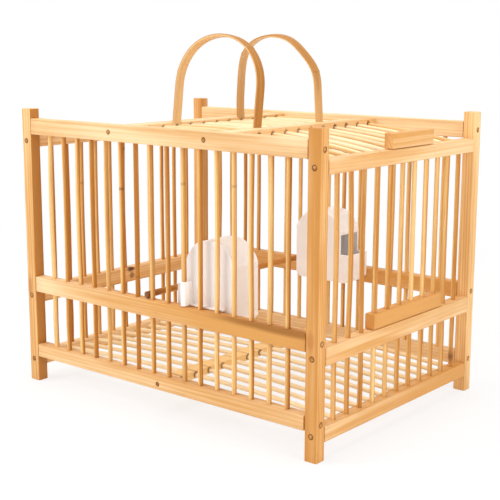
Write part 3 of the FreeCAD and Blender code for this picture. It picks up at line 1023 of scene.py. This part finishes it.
@dataclass
class StickBundle(Bundle):
    """A group of split bamboo sticks."""

    slot: ClassVar[Slot] = Slot.STICK
    kind: ClassVar[str] = "_split"
    holds: tuple[Span, ...] = ()
    bow: float = 1.0 * MM
    bow_length: float = 140.0 * MM
    straight: tuple[int, ...] = ()
    straight_share: float = 0.1
    deepness: float = 0.15
    tone_spread: float = 0.32
    # Painted light: the pale skin side is turned towards this bearing, the front lamp's side for the walls,
    # so the lit side reads paler and the shaded side deeper; split bamboo does have a pale skin and a deeper
    # pith.
    facing: float = 215.0
    facing_spread: float = 32.0
    squareness: Span = (2.0, 3.0)
    whittle: float = 0.025
    waves: float = 45.0
    step: float = 9.0 * MM
    sides: int = 16
    chamfer: float = 0.35 * MM
    chamfer_long: float = 0.4 * MM
    node_share: float = 0.14
    node_mark: float = 0.4
    node_clear: float = 6.0 * MM
    node_steps: tuple[float, ...] = (0.6, 1.3, 2.6, 4.5)
    node_swell: float = 0.07
    swell_reach: float = 2.2 * MM
    node_groove: float = 0.06
    groove_reach: float = 0.5 * MM
    most_swell: float = 1.03
    marks: dict[int, float] = field(default_factory=dict)
    chosen_mark: float = 0.8
    mark_reach: float = 1.1 * MM
    # Painted shade: how dark the sticks turn where they enter and leave the beams, for the shade in the hole
    # gaps.
    hole_painted_shade: float = 0.0
    hole_reach: float = 1.3 * MM
    hole_steps: Triple = (0.7, 1.5, 3.0)
    tip_mark: float = 0.85
    dark_tip: float = 0.0

    @property
    def hole_edges(self) -> list[float]:
        """Where the sticks enter and leave the beams that they thread."""
        return [edge for hold in self.holds[1:-1] for edge in hold]

    def bends(self, draws: random.Random, number: int) -> list[tuple[float, float, float, float]]:
        """Draw how far one stick bows between the places that hold it.

        Args:
            draws: Source of the draws.
            number: Place of the stick in the bundle.

        Returns:
            Start and end of each free stretch, with the bow in the two cross directions.
        """
        found = []
        bow = self.straight_share * self.bow if number in self.straight else self.bow
        for (_, start), (end, _) in zip(self.holds, self.holds[1:]):
            most = bow * min(1.0, (end - start) / self.bow_length)
            found.append((start, end, draws.uniform(-most, most), draws.uniform(-most, most)))
        return found

    def joints(self, draws: random.Random, solid: Solid, number: int) -> list[float]:
        """Draw where one stick has bamboo nodes.

        Args:
            draws: Source of the draws.
            solid: Box of the stick.
            number: Place of the stick in the bundle.

        Returns:
            Places along the stick.
        """
        place = draws.uniform(*solid.ends)
        wanted = draws.random() < self.node_share
        if number in self.marks:
            return [self.marks[number]]
        clear = all(place < low - self.node_clear or place > high + self.node_clear
                    for low, high in self.holds)
        return [place] if wanted and clear else []

    def places(self, solid: Solid, joints: list[float]) -> list[float]:
        """List the cross-sections along one stick.

        Args:
            solid: Box of the stick.
            joints: Places of its bamboo nodes.

        Returns:
            Places along the stick, in order.
        """
        low, high = solid.ends
        count = max(3, round((high - low) / self.step))
        found = [low + (high - low) * step / count for step in range(count + 1)]
        found += [low + self.chamfer_long, high - self.chamfer_long]
        edges = self.hole_edges if self.hole_painted_shade else []
        for middles, steps in ((joints, self.node_steps), (edges, self.hole_steps)):
            found += [middle + away * side * MM for middle in middles for away in steps for side in (-1, 1)]
            found += middles
        return sorted(place for place in found if low <= place <= high)

    def look(self, place: float, low: float, joints: list[float], number: int) -> Span:
        """Work out how one stick swells and darkens, by its nodes and by painted shade at the beam holes, at
        a place along it.

        Args:
            place: Place along the stick.
            low: Start of the stick.
            joints: Places of its bamboo nodes.
            number: Place of the stick in the bundle.

        Returns:
            Its thickness as a share of the usual one, and its darkness.
        """
        swell = 1.0
        mark = self.tip_mark * fade(place - low, self.dark_tip) if self.dark_tip else 0.0
        strength = self.chosen_mark if number in self.marks else self.node_mark
        for joint in joints:
            away = abs(place - joint)
            swell += self.node_swell * fade(away, self.swell_reach)
            swell -= self.node_groove * fade(away, self.groove_reach)
            mark = max(mark, strength * fade(away, self.mark_reach))
        # Painted shade at the beam holes.
        if self.hole_painted_shade:
            away = min(abs(place - edge) for edge in self.hole_edges)
            mark = max(mark, self.hole_painted_shade * fade(away, self.hole_reach))
        return min(swell, self.most_swell), mark

    def rings(self, solid: Solid, number: int, draws: random.Random) -> list[list[Dot]]:
        """Draft one stick.

        Args:
            solid: Box of the stick.
            number: Place of the stick in the bundle.
            draws: Source of the draws.

        Returns:
            Rings of points, from one end to the other.
        """
        low, high = solid.ends
        power = draws.uniform(*self.squareness)
        flat = solid.radius / 2 ** (0.5 - 1 / power)
        spin = draws.uniform(0, math.tau)
        # Painted light: the pale skin faces about towards the lamp's side.
        facing = math.radians(draws.gauss(self.facing, self.facing_spread))
        tone = draws.gauss(self.deepness, self.tone_spread)
        shift = grain_shift(draws)
        bends = self.bends(draws, number)
        joints = self.joints(draws, solid, number)
        rings = []
        for place in self.places(solid, joints):
            off_u = 0.0
            off_v = 0.0
            for start, end, bow_u, bow_v in bends:
                if start < place < end:
                    rise = math.sin(math.pi * (place - start) / (end - start))
                    off_u = bow_u * rise
                    off_v = bow_v * rise
            swell, mark = self.look(place, low, joints, number)
            near_end = min(place - low, high - place)
            chamfer = self.chamfer * max(0.0, 1 - near_end / self.chamfer_long)
            ring = []
            for angle in turns(self.sides):
                bare = angle - spin
                reach = flat / (abs(math.cos(bare)) ** power + abs(math.sin(bare)) ** power) ** (1 / power)
                uneven = noise.noise(Vector((place * self.waves, angle * 0.8, self.seed + number * 5.7)))
                reach = reach * swell * (1 - self.whittle + self.whittle * uneven) - chamfer
                across = (reach * math.cos(angle), reach * math.sin(angle))
                ring.append(Dot(solid.beside(place, off_u + across[0], off_v + across[1]),
                                Vector((*across, place)) + shift, tone, math.cos(angle - facing), mark))
            rings.append(ring)
        return rings


@dataclass
class PegBundle(Bundle):
    """A group of whittled pegs with eased, dark-rimmed ends."""

    slot: ClassVar[Slot] = Slot.PEG
    kind: ClassVar[str] = "_whittled"
    fill: float = 0.2
    darkness: float = 0.8
    tone_range: Span = (-0.5, 0.7)
    wobble: Span = (0.95, 1.0)
    skin_share: float = 0.4
    sides: int = 22
    end: tuple[Triple, ...] = ((0.2, 0.0, 0.0), (0.42, 0.02, 0.0), (0.6, 0.05, 0.45), (0.76, 0.1, 1.0),
                               (0.9, 0.2, 1.0), (1.0, 0.5, 1.0))

    def rings(self, solid: Solid, number: int, draws: random.Random) -> list[list[Dot]]:
        """Draft one peg.

        Args:
            solid: Box of the peg.
            number: Place of the peg in the bundle; not used.
            draws: Source of the draws.

        Returns:
            Rings of points, from one end to the other.
        """
        low, high = solid.ends
        tone = draws.uniform(*self.tone_range)
        facing = draws.uniform(0, math.tau)
        shift = grain_shift(draws)
        wobble = [draws.uniform(*self.wobble) for _ in range(self.sides)]
        smooth = [(wobble[k - 1] + 2 * wobble[k] + wobble[(k + 1) % self.sides]) / 4
                  for k in range(self.sides)]
        profile = [(share, low + depth * MM, mark) for share, depth, mark in self.end]
        profile += [(share, high - depth * MM, mark) for share, depth, mark in reversed(self.end)]
        rings = []
        for share, place, mark in profile:
            ring = []
            for angle, wide in zip(turns(self.sides), smooth):
                reach = solid.radius * share * wide
                across = (reach * math.cos(angle), reach * math.sin(angle))
                ring.append(Dot(solid.beside(place, *across), Vector((*across, place)) + shift, tone,
                                self.skin_share * math.cos(angle - facing),
                                self.darkness * max(mark, self.fill)))
            rings.append(ring)
        return rings


@dataclass(frozen=True)
class Set:
    """A place where a bent strip has settled away from its even curve."""

    share: float
    reach: float
    across: float
    down: float


@dataclass
class BentStrip:
    """One carrying handle, a flat bamboo strip bent by heat."""

    node: str
    seed: int
    foot: Vector
    lean: float
    sets: tuple[Set, ...]
    tones: Span
    nodes: Span = (0.22, 0.66)
    node_steps: Triple = (0.6, 1.2, 2.4)
    half_span: float = 54.45 * MM
    leg: float = 40.3 * MM
    wide: float = 11.0 * MM
    thick: float = 3.0 * MM
    round_edge: float = 0.7 * MM
    crown: float = 0.25 * MM
    crown_sunk: float = 0.2 * MM
    step: float = 4.0 * MM
    whittle: float = 0.025
    waves: float = 30.0
    ridge: float = 0.45 * MM
    ridge_reach: float = 1.6 * MM
    node_mark: float = 0.22
    mark_reach: float = 0.8 * MM
    skin: float = 0.7
    skin_depth: float = 0.5 * MM

    def path(self, along: float) -> tuple[Vector, Vector]:
        """Find a point on the middle line of the strip.

        Args:
            along: Distance from the first foot.

        Returns:
            The point in the plane of the bend, and the outward direction there.
        """
        arc = math.pi * self.half_span
        if along < self.leg:
            return Vector((-self.half_span, 0.0, along)), Vector((-1.0, 0.0, 0.0))
        if along > self.leg + arc:
            return Vector((self.half_span, 0.0, 2 * self.leg + arc - along)), Vector((1.0, 0.0, 0.0))
        angle = math.pi - (along - self.leg) / self.half_span
        out = Vector((math.cos(angle), 0.0, math.sin(angle)))
        return Vector((0.0, 0.0, self.leg)) + self.half_span * out, out

    def section(self) -> list[Span]:
        """Draw the strip's cross-section, width by thickness.

        Returns:
            Points around the section, with a slightly crowned outside.
        """
        points = []
        for across, out in rounded(self.wide / 2, self.thick / 2, self.round_edge, 5):
            crown = self.crown * (1 - (2 * across / self.wide) ** 2)
            points.append((across, out + crown - self.crown_sunk if out > 0 else out))
        return points

    def build(self, material: Material) -> Piece:
        """Bend and dress the strip.

        Args:
            material: Its material.

        Returns:
            The finished piece.
        """
        shift = grain_shift(random.Random(self.seed))
        length = 2 * self.leg + math.pi * self.half_span
        turn = Matrix.Rotation(self.lean, 3, "X")
        count = round(length / self.step)
        places = [length * step / count for step in range(count + 1)]
        places += [joint * length + away * side * MM for joint in self.nodes for away in self.node_steps
                   for side in (-1, 1)]
        section = self.section()
        rings = []
        for along in sorted(places):
            spot, out = self.path(along)
            share = along / length
            for moved in self.sets:
                amount = fade(share - moved.share, moved.reach)
                spot.x += moved.across * amount
                spot.z -= moved.down * amount
            ridge = 0.0
            mark = 0.0
            for joint in self.nodes:
                away = abs(along - joint * length)
                ridge += self.ridge * fade(away, self.ridge_reach)
                mark = max(mark, self.node_mark * fade(away, self.mark_reach))
            uneven = 1 + self.whittle * noise.noise(Vector((along * self.waves, self.seed, 0.0)))
            ring = []
            for across, height in section:
                outside = height > 0
                raised = height + (ridge if outside else 0.0)
                place = self.foot + turn @ (spot + out * raised + Vector((0.0, across * uneven, 0.0)))
                on_face = abs(height) > self.skin_depth
                skin = 0.0 if not on_face else -self.skin if outside else self.skin
                ring.append(Dot(place, Vector((across, height, along)) + shift, between(self.tones, share),
                                skin, mark if outside else 0.0))
            rings.append(ring)
        draft = Draft()
        draft.loft(rings)
        name = self.node + "_bent"
        return set_piece(name, draft.mesh(name), self.node, Body.CAGE, material)


@dataclass
class Moulding:
    """One hooded feeder, moulded in plastic."""

    body: Body
    round_edge: float = 0.7 * MM
    crease: float = 24.0
    flat_turn: float = 1.0
    tray_tall: float = 34.0 * MM
    hood_low: float = 50.0 * MM
    hood_half: float = 30.5 * MM
    hood_drop: float = 11.0 * MM
    hood_cuts: int = 12

    def arch(self, shell: bmesh.types.BMesh, low: Vector, high: Vector) -> None:
        """Round the hood's top down towards its two ends.

        Args:
            shell: Mesh of the feeder.
            low: Lowest corner of the feeder.
            high: Highest corner of the feeder.
        """
        middle = high.x - self.hood_half if self.body is Body.FRONT_FEEDER else low.x + self.hood_half
        for number in range(1, self.hood_cuts):
            place = middle + self.hood_half * (2 * number / self.hood_cuts - 1)
            bmesh.ops.bisect_plane(shell, geom=shell.verts[:] + shell.edges[:] + shell.faces[:],
                                   plane_co=(place, 0.0, 0.0), plane_no=(1.0, 0.0, 0.0))
        for point in shell.verts:
            rise = (point.co.z - low.z - self.hood_low) / (high.z - low.z - self.hood_low)
            side = min(1.0, abs(point.co.x - middle) / self.hood_half)
            point.co.z -= self.hood_drop * max(0.0, rise) * side ** 2

    def settle(self, shell: bmesh.types.BMesh) -> None:
        """Number points and faces by their place, because bevelling numbers them anew in each run.

        Args:
            shell: Mesh of the feeder.
        """
        shell.verts.index_update()
        shell.faces.index_update()
        points = sorted(shell.verts, key=lambda point: tuple(point.co))
        point_order = {point.index: number for number, point in enumerate(points)}
        rings = {face.index: sorted(point_order[point.index] for point in face.verts) for face in shell.faces}
        face_order = {index: number for number, index in enumerate(sorted(rings, key=rings.get))}
        shell.faces.sort(key=lambda face: face_order[face.index])
        shell.verts.sort(key=lambda point: point_order[point.index])

    def build(self, material: Material) -> Piece:
        """Mould and dress the feeder.

        Args:
            material: Its material.

        Returns:
            The finished piece.
        """
        node = self.body.value
        low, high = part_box(node)
        shell = bmesh.new()
        shell.from_mesh(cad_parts[node].data)
        bmesh.ops.remove_doubles(shell, verts=shell.verts, dist=SAME_POINT)
        bmesh.ops.dissolve_limit(shell, angle_limit=math.radians(self.flat_turn), verts=shell.verts,
                                 edges=shell.edges)
        crisp = [edge for edge in shell.edges if len(edge.link_faces) == 2
                 and edge.calc_face_angle() > math.radians(self.crease)]
        bmesh.ops.bevel(shell, geom=crisp, offset=self.round_edge, segments=3, profile=0.5,
                        affect="EDGES", clamp_overlap=True)
        self.arch(shell, low, high)
        self.settle(shell)
        mesh = bpy.data.meshes.new(node + "_moulded")
        shell.to_mesh(mesh)
        shell.free()
        grain = [point.co - low for point in mesh.vertices]
        dusty = [max(0.0, 1 - (point.co.z - low.z) / self.tray_tall) for point in mesh.vertices]
        carry(mesh, grain, {"mark": dusty})
        return set_piece(node + "_moulded", mesh, node, self.body, material)


@dataclass(frozen=True)
class Finishes:
    """Every finish on the cage."""

    post: TimberFinish = TimberFinish(
        "planed_post", shade(250, 209, 148), shade(206, 141, 64), 2.6 * MM, 0.28,
        (DarkPatch((0.1885, -0.142, 0.112), (0.006, 0.006, 0.011), shade(186, 108, 44), 0.5),
         DarkPatch((-0.1925, -0.142, 0.106), (0.0045, 0.006, 0.016), shade(176, 104, 40), 0.55)))
    rail: TimberFinish = TimberFinish(
        "planed_rail", shade(252, 220, 172), shade(216, 155, 80), 3.2 * MM, 0.12,
        (DarkPatch((-0.1842, 0.0035, 0.1035), (0.008, 0.0075, 0.004), shade(98, 50, 16)),
         DarkPatch((-0.1842, 0.005, 0.0955), (0.008, 0.005, 0.005), shade(140, 82, 34), 0.8),
         # A long dark band along the top edge of the front middle rail, near its right end.
         DarkPatch((0.15, -0.142, 0.1172), (0.1, 0.012, 0.006), shade(150, 92, 20), 0.85)))
    # Painted shade: dark rims round the holes where the roof sticks pass through.
    roof_beam: TimberFinish = TimberFinish(
        "roof_beam_wood", shade(254, 226, 178), shade(226, 170, 100), 3.0 * MM, 0.16,
        (PaintedHoleShade(283.2 * MM, 3.7 * MM, shade(122, 66, 20)),))
    # Painted shade: dark rims round the holes where the floor sticks pass through.
    floor_beam: TimberFinish = TimberFinish(
        "floor_beam_wood", shade(255, 214, 146), shade(240, 172, 92), 3.0 * MM, 0.16,
        (PaintedHoleShade(35.0 * MM, 3.8 * MM, shade(118, 56, 18)),))
    stick: BambooFinish = BambooFinish("split_bamboo", shade(247, 207, 139), shade(228, 172, 95),
                                       shade(187, 120, 41))
    deck: BambooFinish = BambooFinish("deck_bamboo", shade(254, 230, 186), shade(246, 212, 156),
                                      shade(228, 176, 108))
    peg: BambooFinish = BambooFinish("peg_bamboo", shade(230, 176, 106), shade(212, 152, 80),
                                     shade(160, 98, 38), 0.6)
    strip: BambooFinish = BambooFinish("bent_bamboo", shade(236, 194, 136), shade(220, 168, 102),
                                       shade(178, 118, 46))
    feeder: PlasticFinish = PlasticFinish("white_plastic", shade(255, 251, 249), shade(254, 243, 237))


@dataclass
class TimberFrame:
    """Four posts, twelve rails and the pegs through the posts."""

    corners: tuple[str, ...] = ("front_left", "front_right", "back_left", "back_right")
    sides: tuple[str, ...] = ("front", "back", "left", "right")
    levels: tuple[str, ...] = ("top", "middle", "bottom")
    post_ease: float = 1.3 * MM
    post_wave: float = 0.3 * MM
    looks: dict[str, dict[str, object]] = field(default_factory=lambda: {
        # The +X-face numbers are painted shade on the left posts' inner faces, and painted light on the near
        # post's side face.
        "post_front_left": {"right_tone": 0.8, "right_mark": 0.24},
        "post_front_right": {"tones": (0.4, 0.45), "right_tone": -0.2},
        "post_back_left": {"tones": (0.2, 0.2), "right_mark": 0.1},
        "post_back_right": {"tones": (-0.05, -0.25)},
        "front_top_rail": {"tones": (0.02, -0.12)},
        # Painted shade: the front middle rail darkens towards its right end.
        "front_middle_rail": {"tones": (-0.33, 0.95)},
        "front_bottom_rail": {"tones": (0.15, 0.1), "end_gap": 0.8 * MM},
        "back_top_rail": {"tones": (-0.2, -0.2)},
        "back_middle_rail": {"tones": (0.4, 0.4)},
        "left_middle_rail": {"tones": (0.2, 0.2)},
        "right_top_rail": {"end_gap": 0.7 * MM, "slides": tuple(solids_of("door_sticks"))},
        "right_middle_rail": {"tones": (0.15, 0.15)},
        "right_bottom_rail": {"tones": (0.2, 0.5), "end_gap": 1.0 * MM}})
    pegs: dict[str, float] = field(default_factory=lambda: {
        "long_rail_pegs": 0.3, "side_rail_pegs": 0.3, "roof_beam_pegs": 0.2, "floor_beam_pegs": 0.8})

    def build(self, rounds: list[Solid], finishes: Finishes) -> Material:
        """Build the posts, rails and pegs.

        Args:
            rounds: Sticks and pegs that pass into the wood.
            finishes: The cage's finishes.

        Returns:
            The rails' material.
        """
        post_wood = finishes.post.material()
        for seed, corner in enumerate(self.corners, 11):
            node = "post_" + corner
            Timber(node, Slot.POST, seed, ease=self.post_ease, wave=self.post_wave,
                   **self.looks.get(node, {})).build(rounds, post_wood)
        rail_wood = finishes.rail.material()
        nodes = ["%s_%s_rail" % (side, level) for side in self.sides for level in self.levels]
        for seed, node in enumerate(nodes, 31):
            Timber(node, Slot.RAIL, seed, **self.looks.get(node, {})).build(rounds, rail_wood)
        peg_wood = finishes.peg.material()
        for seed, (node, fill) in enumerate(self.pegs.items(), 51):
            PegBundle(node, seed, fill=fill).build(peg_wood)
        return rail_wood


@dataclass
class StickWalls:
    """The upright sticks of the four walls."""

    long_holds: tuple[Span, ...] = ((0.034, 0.0425), (0.1015, 0.1185), (0.273, 0.281))
    side_holds: tuple[Span, ...] = ((0.026, 0.032), (0.088, 0.105), (0.259, 0.265))
    low_bow: float = 0.4 * MM
    right_deepness: float = -0.1

    def build(self, finishes: Finishes) -> Material:
        """Build the sticks of every wall.

        Args:
            finishes: The cage's finishes.

        Returns:
            The sticks' material.
        """
        bamboo = finishes.stick.material()
        for bundle in (
                StickBundle("front_sticks", 71, holds=self.long_holds, straight=(6, 7, 9),
                            marks={5: 0.226}),
                StickBundle("back_sticks", 72, holds=self.long_holds, straight=(6, 7, 10)),
                StickBundle("left_sticks", 73, holds=self.side_holds, marks={5: 0.247}),
                StickBundle("right_front_sticks", 74, holds=self.side_holds, deepness=self.right_deepness),
                StickBundle("right_low_sticks", 75, holds=self.side_holds[:2], bow=self.low_bow,
                            deepness=self.right_deepness),
                StickBundle("right_back_sticks", 76, holds=self.side_holds, node_share=0.0,
                            marks={1: 0.043}, mark_reach=5.0 * MM)):
            bundle.build(bamboo)
        return bamboo


@dataclass
class LiftingDoor:
    """Six sliding sticks between a foot block and a grip block."""

    ease: float = 0.8 * MM
    end_ease: float = 0.6 * MM

    def build(self, rounds: list[Solid], bamboo: Material, wood: Material) -> None:
        """Build the door.

        Args:
            rounds: Sticks that pass into the blocks.
            bamboo: Material of the sticks.
            wood: Material of the blocks.
        """
        StickBundle("door_sticks", 81, Body.DOOR, node_share=0.0, deepness=-0.1,
                    squareness=(2.0, 2.4)).build(bamboo)
        # The last number of each block is painted light on its +X face, where it is below 0.
        for node, seed, tone, right_tone in (("door_foot_block", 83, 0.9, -0.25),
                                             ("door_grip_block", 84, 0.35, 0.0)):
            Timber(node, Slot.RAIL, seed, Body.DOOR, self.ease, self.end_ease, tones=(tone, tone),
                   right_tone=right_tone).build(rounds, wood)


@dataclass(frozen=True)
class HandleFeet:
    """Where the front and the rear handle stand, and how they lean."""

    places: Span = (-52.3 * MM, 52.3 * MM)
    leans: Span = (math.radians(-7.0), math.radians(5.5))
    strip_height: float = 285.9 * MM
    housing_height: float = 285.75 * MM
    housing: Vector = Vector((7.0 * MM, 11.3 * MM, 12.0 * MM))

    def housings(self, face: float) -> tuple[Notch, ...]:
        """Lay out the slanting housings for the feet on one beam.

        Args:
            face: Place along X of the beam's inner face.

        Returns:
            The two housings.
        """
        cuts = []
        for place, lean in zip(self.places, self.leans):
            rise = Matrix.Rotation(lean, 3, "X") @ Vector((0.0, 0.0, self.housing.z / 2))
            cuts.append(Notch(Vector((face, place, self.housing_height)) + rise, self.housing, lean))
        return tuple(cuts)


@dataclass
class Decks:
    """The bent roof and floor sticks with the beams that they thread."""

    roof_holds: tuple[Span, ...] = ((-0.197, -0.184), (-0.0746, -0.0526), (0.0526, 0.0746), (0.184, 0.197))
    floor_holds: tuple[Span, ...] = ((-0.197, -0.183), (-0.009, 0.009), (0.183, 0.197))
    bow: float = 0.6 * MM
    skin_up: float = 100.0
    beam_ease: float = 0.8 * MM
    hole_clear: float = 0.35 * MM
    floor_tones: Span = (-0.5, -0.3)

    def build(self, rounds: list[Solid], finishes: Finishes, feet: HandleFeet) -> None:
        """Build the roof and the floor.

        Args:
            rounds: Sticks and pegs that pass into the beams.
            finishes: The cage's finishes.
            feet: Where the handles stand.
        """
        roof_wood = finishes.roof_beam.material()
        floor_wood = finishes.floor_beam.material()
        bamboo = finishes.deck.material()
        # The last number is the painted shade where the sticks pass through the beams.
        for node, seed, holds, deepness, hole_painted_shade in (("roof_sticks", 91, self.roof_holds, 0.05, 0.75),
                                                       ("floor_sticks", 92, self.floor_holds, -0.8, 0.8)):
            StickBundle(node, seed, holds=holds, bow=self.bow, deepness=deepness, facing=self.skin_up,
                        hole_painted_shade=hole_painted_shade).build(bamboo)
        left_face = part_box("roof_beam_left")[1].x
        right_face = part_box("roof_beam_right")[0].x
        for node, seed, wood, cuts, tones in (
                ("roof_beam_left", 94, roof_wood, feet.housings(left_face), (0.0, 0.0)),
                ("roof_beam_right", 95, roof_wood, feet.housings(right_face), (0.0, 0.0)),
                ("floor_beam", 96, floor_wood, (), self.floor_tones)):
            Timber(node, Slot.RAIL, seed, ease=self.beam_ease, bore_clear=self.hole_clear, notches=cuts,
                   tones=tones).build(rounds, wood)


@dataclass
class Handles:
    """The two bent carrying handles."""

    front_sets: tuple[Set, ...] = (Set(0.5, 0.17, 0.0, 3.0 * MM),)
    rear_sets: tuple[Set, ...] = (Set(0.5, 0.17, 0.0, 3.2 * MM), Set(0.2, 0.1, 4.5 * MM, 0.0),
                                  Set(0.68, 0.08, -1.0 * MM, 3.6 * MM))

    def build(self, finishes: Finishes, feet: HandleFeet) -> None:
        """Build both handles.

        Args:
            finishes: The cage's finishes.
            feet: Where the handles stand.
        """
        material = finishes.strip.material()
        front, rear = (Vector((0.0, place, feet.strip_height)) for place in feet.places)
        BentStrip("front_handle_strip", 101, front, feet.leans[0], self.front_sets,
                  (0.2, 0.35)).build(material)
        BentStrip("rear_handle_strip", 102, rear, feet.leans[1], self.rear_sets, (1.0, -1.0),
                  (0.3, 0.78)).build(material)


@dataclass
class LooseFittings:
    """The two feeders and the perch."""

    perch_mark: float = -60.0 * MM
    perch_tip: float = 14.0 * MM

    def build(self, finishes: Finishes, bamboo: Material) -> None:
        """Build the loose fittings.

        Args:
            finishes: The cage's finishes.
            bamboo: Material of the perch.
        """
        plastic = finishes.feeder.material()
        for body in (Body.FRONT_FEEDER, Body.BACK_FEEDER):
            Moulding(body).build(plastic)
        StickBundle("perch", 111, Body.PERCH, squareness=(2.0, 2.2), marks={0: self.perch_mark},
                    deepness=0.5, dark_tip=self.perch_tip).build(bamboo)


@dataclass(frozen=True)
class Lamp:
    """One soft round lamp that faces the cage."""

    name: str
    place: Triple
    power: float
    wide: float

    def hang(self, aim: Vector) -> None:
        """Hang the lamp.

        Args:
            aim: Point that it faces.
        """
        light = bpy.data.lights.new(self.name, "AREA")
        light.shape = "DISK"
        light.size = self.wide
        light.energy = self.power
        lamp = bpy.data.objects.new(self.name, light)
        lamp.location = self.place
        lamp.rotation_euler = (aim - Vector(self.place)).to_track_quat("-Z", "Y").to_euler()
        bpy.context.scene.collection.objects.link(lamp)


@dataclass
class Studio:
    """White floor, soft lamps and the camera."""

    floor_radius: float = 4.0
    floor_fade: Span = (0.35, 1.1)
    floor_paper: tuple[float, ...] = (0.92, 0.92, 0.92, 1.0)
    shadow_lift: float = 0.75
    world_light: float = 0.58
    world_tint: tuple[float, ...] = (1.0, 0.985, 0.96, 1.0)
    lamps: tuple[Lamp, ...] = (Lamp("front_lamp", (-0.95, -1.15, 1.0), 13.8, 1.1),
                               Lamp("right_lamp", (1.15, -0.25, 0.55), 5.3, 0.7),
                               Lamp("top_lamp", (0.0, 0.1, 2.0), 17.0, 1.3))
    lamp_aim: Triple = (0.0, 0.0, 0.15)
    camera_place: Triple = (0.7387101, -0.8930869, 0.3752090)
    turn: float = 39.4908
    dip: float = 11.0016
    roll: float = 0.1602
    lens: float = 78.805
    sensor: float = 36.0

    def white_share(self, board: NodeBoard) -> Socket:
        """Pick the rays that see plain white.

        Args:
            board: Node tree to add to.

        Returns:
            1 for camera, glossy and transmission rays, otherwise 0.
        """
        path = board.node("ShaderNodeLightPath")
        share = board.maths("MAXIMUM", path.outputs["Is Camera Ray"], path.outputs["Is Glossy Ray"])
        return board.maths("MAXIMUM", share, path.outputs["Is Transmission Ray"])

    def floor(self) -> None:
        """Lay the pale floor, which fades to white away from the cage."""
        mesh = bpy.data.meshes.new("floor")
        draft = bmesh.new()
        bmesh.ops.create_circle(draft, cap_ends=True, segments=96, radius=self.floor_radius)
        draft.to_mesh(mesh)
        draft.free()
        material, board = new_board("pale_floor")
        lift = board.remap(board.vectors("LENGTH", board.place()), *self.floor_fade, self.shadow_lift, 1.0)
        paper = board.node("ShaderNodeBsdfDiffuse", {"Color": self.floor_paper})
        white = board.node("ShaderNodeEmission", {"Color": WHITE, "Strength": 1.0})
        share = board.maths("MULTIPLY", lift, self.white_share(board))
        board.mixed("ShaderNodeOutputMaterial", share, paper, white)
        mesh.materials.append(material)
        floor = bpy.data.objects.new("floor", mesh)
        bpy.context.scene.collection.objects.link(floor)

    def world(self) -> None:
        """Light the room softly and show white behind the cage."""
        world = bpy.data.worlds.new("soft_room")
        world.use_nodes = True
        board = NodeBoard(world.node_tree)
        soft = board.node("ShaderNodeBackground", {"Color": self.world_tint, "Strength": self.world_light})
        white = board.node("ShaderNodeBackground", {"Color": WHITE, "Strength": 1.0})
        board.mixed("ShaderNodeOutputWorld", self.white_share(board), soft, white)
        bpy.context.scene.world = world

    def camera(self) -> None:
        """Set the camera at the photograph's viewing angle."""
        turn = math.radians(self.turn)
        dip = math.radians(self.dip)
        roll = math.radians(self.roll)
        back = Vector((math.sin(turn) * math.cos(dip), -math.cos(turn) * math.cos(dip), math.sin(dip)))
        level = Vector((math.cos(turn), math.sin(turn), 0.0))
        above = back.cross(level)
        right = math.cos(roll) * level + math.sin(roll) * above
        up = math.cos(roll) * above - math.sin(roll) * level
        data = bpy.data.cameras.new("camera")
        data.sensor_width = self.sensor
        data.lens = self.lens
        camera = bpy.data.objects.new("camera", data)
        camera.matrix_world = (Matrix.Translation(Vector(self.camera_place))
                               @ Matrix((right, up, back)).transposed().to_4x4())
        bpy.context.scene.collection.objects.link(camera)
        bpy.context.scene.camera = camera

    def build(self) -> None:
        """Set up the whole studio."""
        self.floor()
        self.world()
        for lamp in self.lamps:
            lamp.hang(Vector(self.lamp_aim))
        self.camera()
        bpy.context.scene.view_settings.view_transform = "Standard"


def round_solids() -> list[Solid]:
    """Gather every stick and peg that is let into the wood.

    Returns:
        Their solids.
    """
    nodes = ("front_sticks", "back_sticks", "left_sticks", "right_front_sticks", "right_low_sticks",
             "right_back_sticks", "door_sticks", "roof_sticks", "floor_sticks", "long_rail_pegs",
             "side_rail_pegs", "roof_beam_pegs", "floor_beam_pegs")
    return [solid for node in nodes for solid in solids_of(node)]


def main() -> None:
    """Build the cage piece by piece, then light it."""
    logging.basicConfig(level=logging.INFO, format="%(message)s")
    finishes = Finishes()
    feet = HandleFeet()
    rounds = round_solids()
    wood = TimberFrame().build(rounds, finishes)
    bamboo = StickWalls().build(finishes)
    LiftingDoor().build(rounds, bamboo, wood)
    Decks().build(rounds, finishes, feet)
    Handles().build(finishes, feet)
    LooseFittings().build(finishes, bamboo)
    Studio().build()


if __name__ == "__main__":
    main()
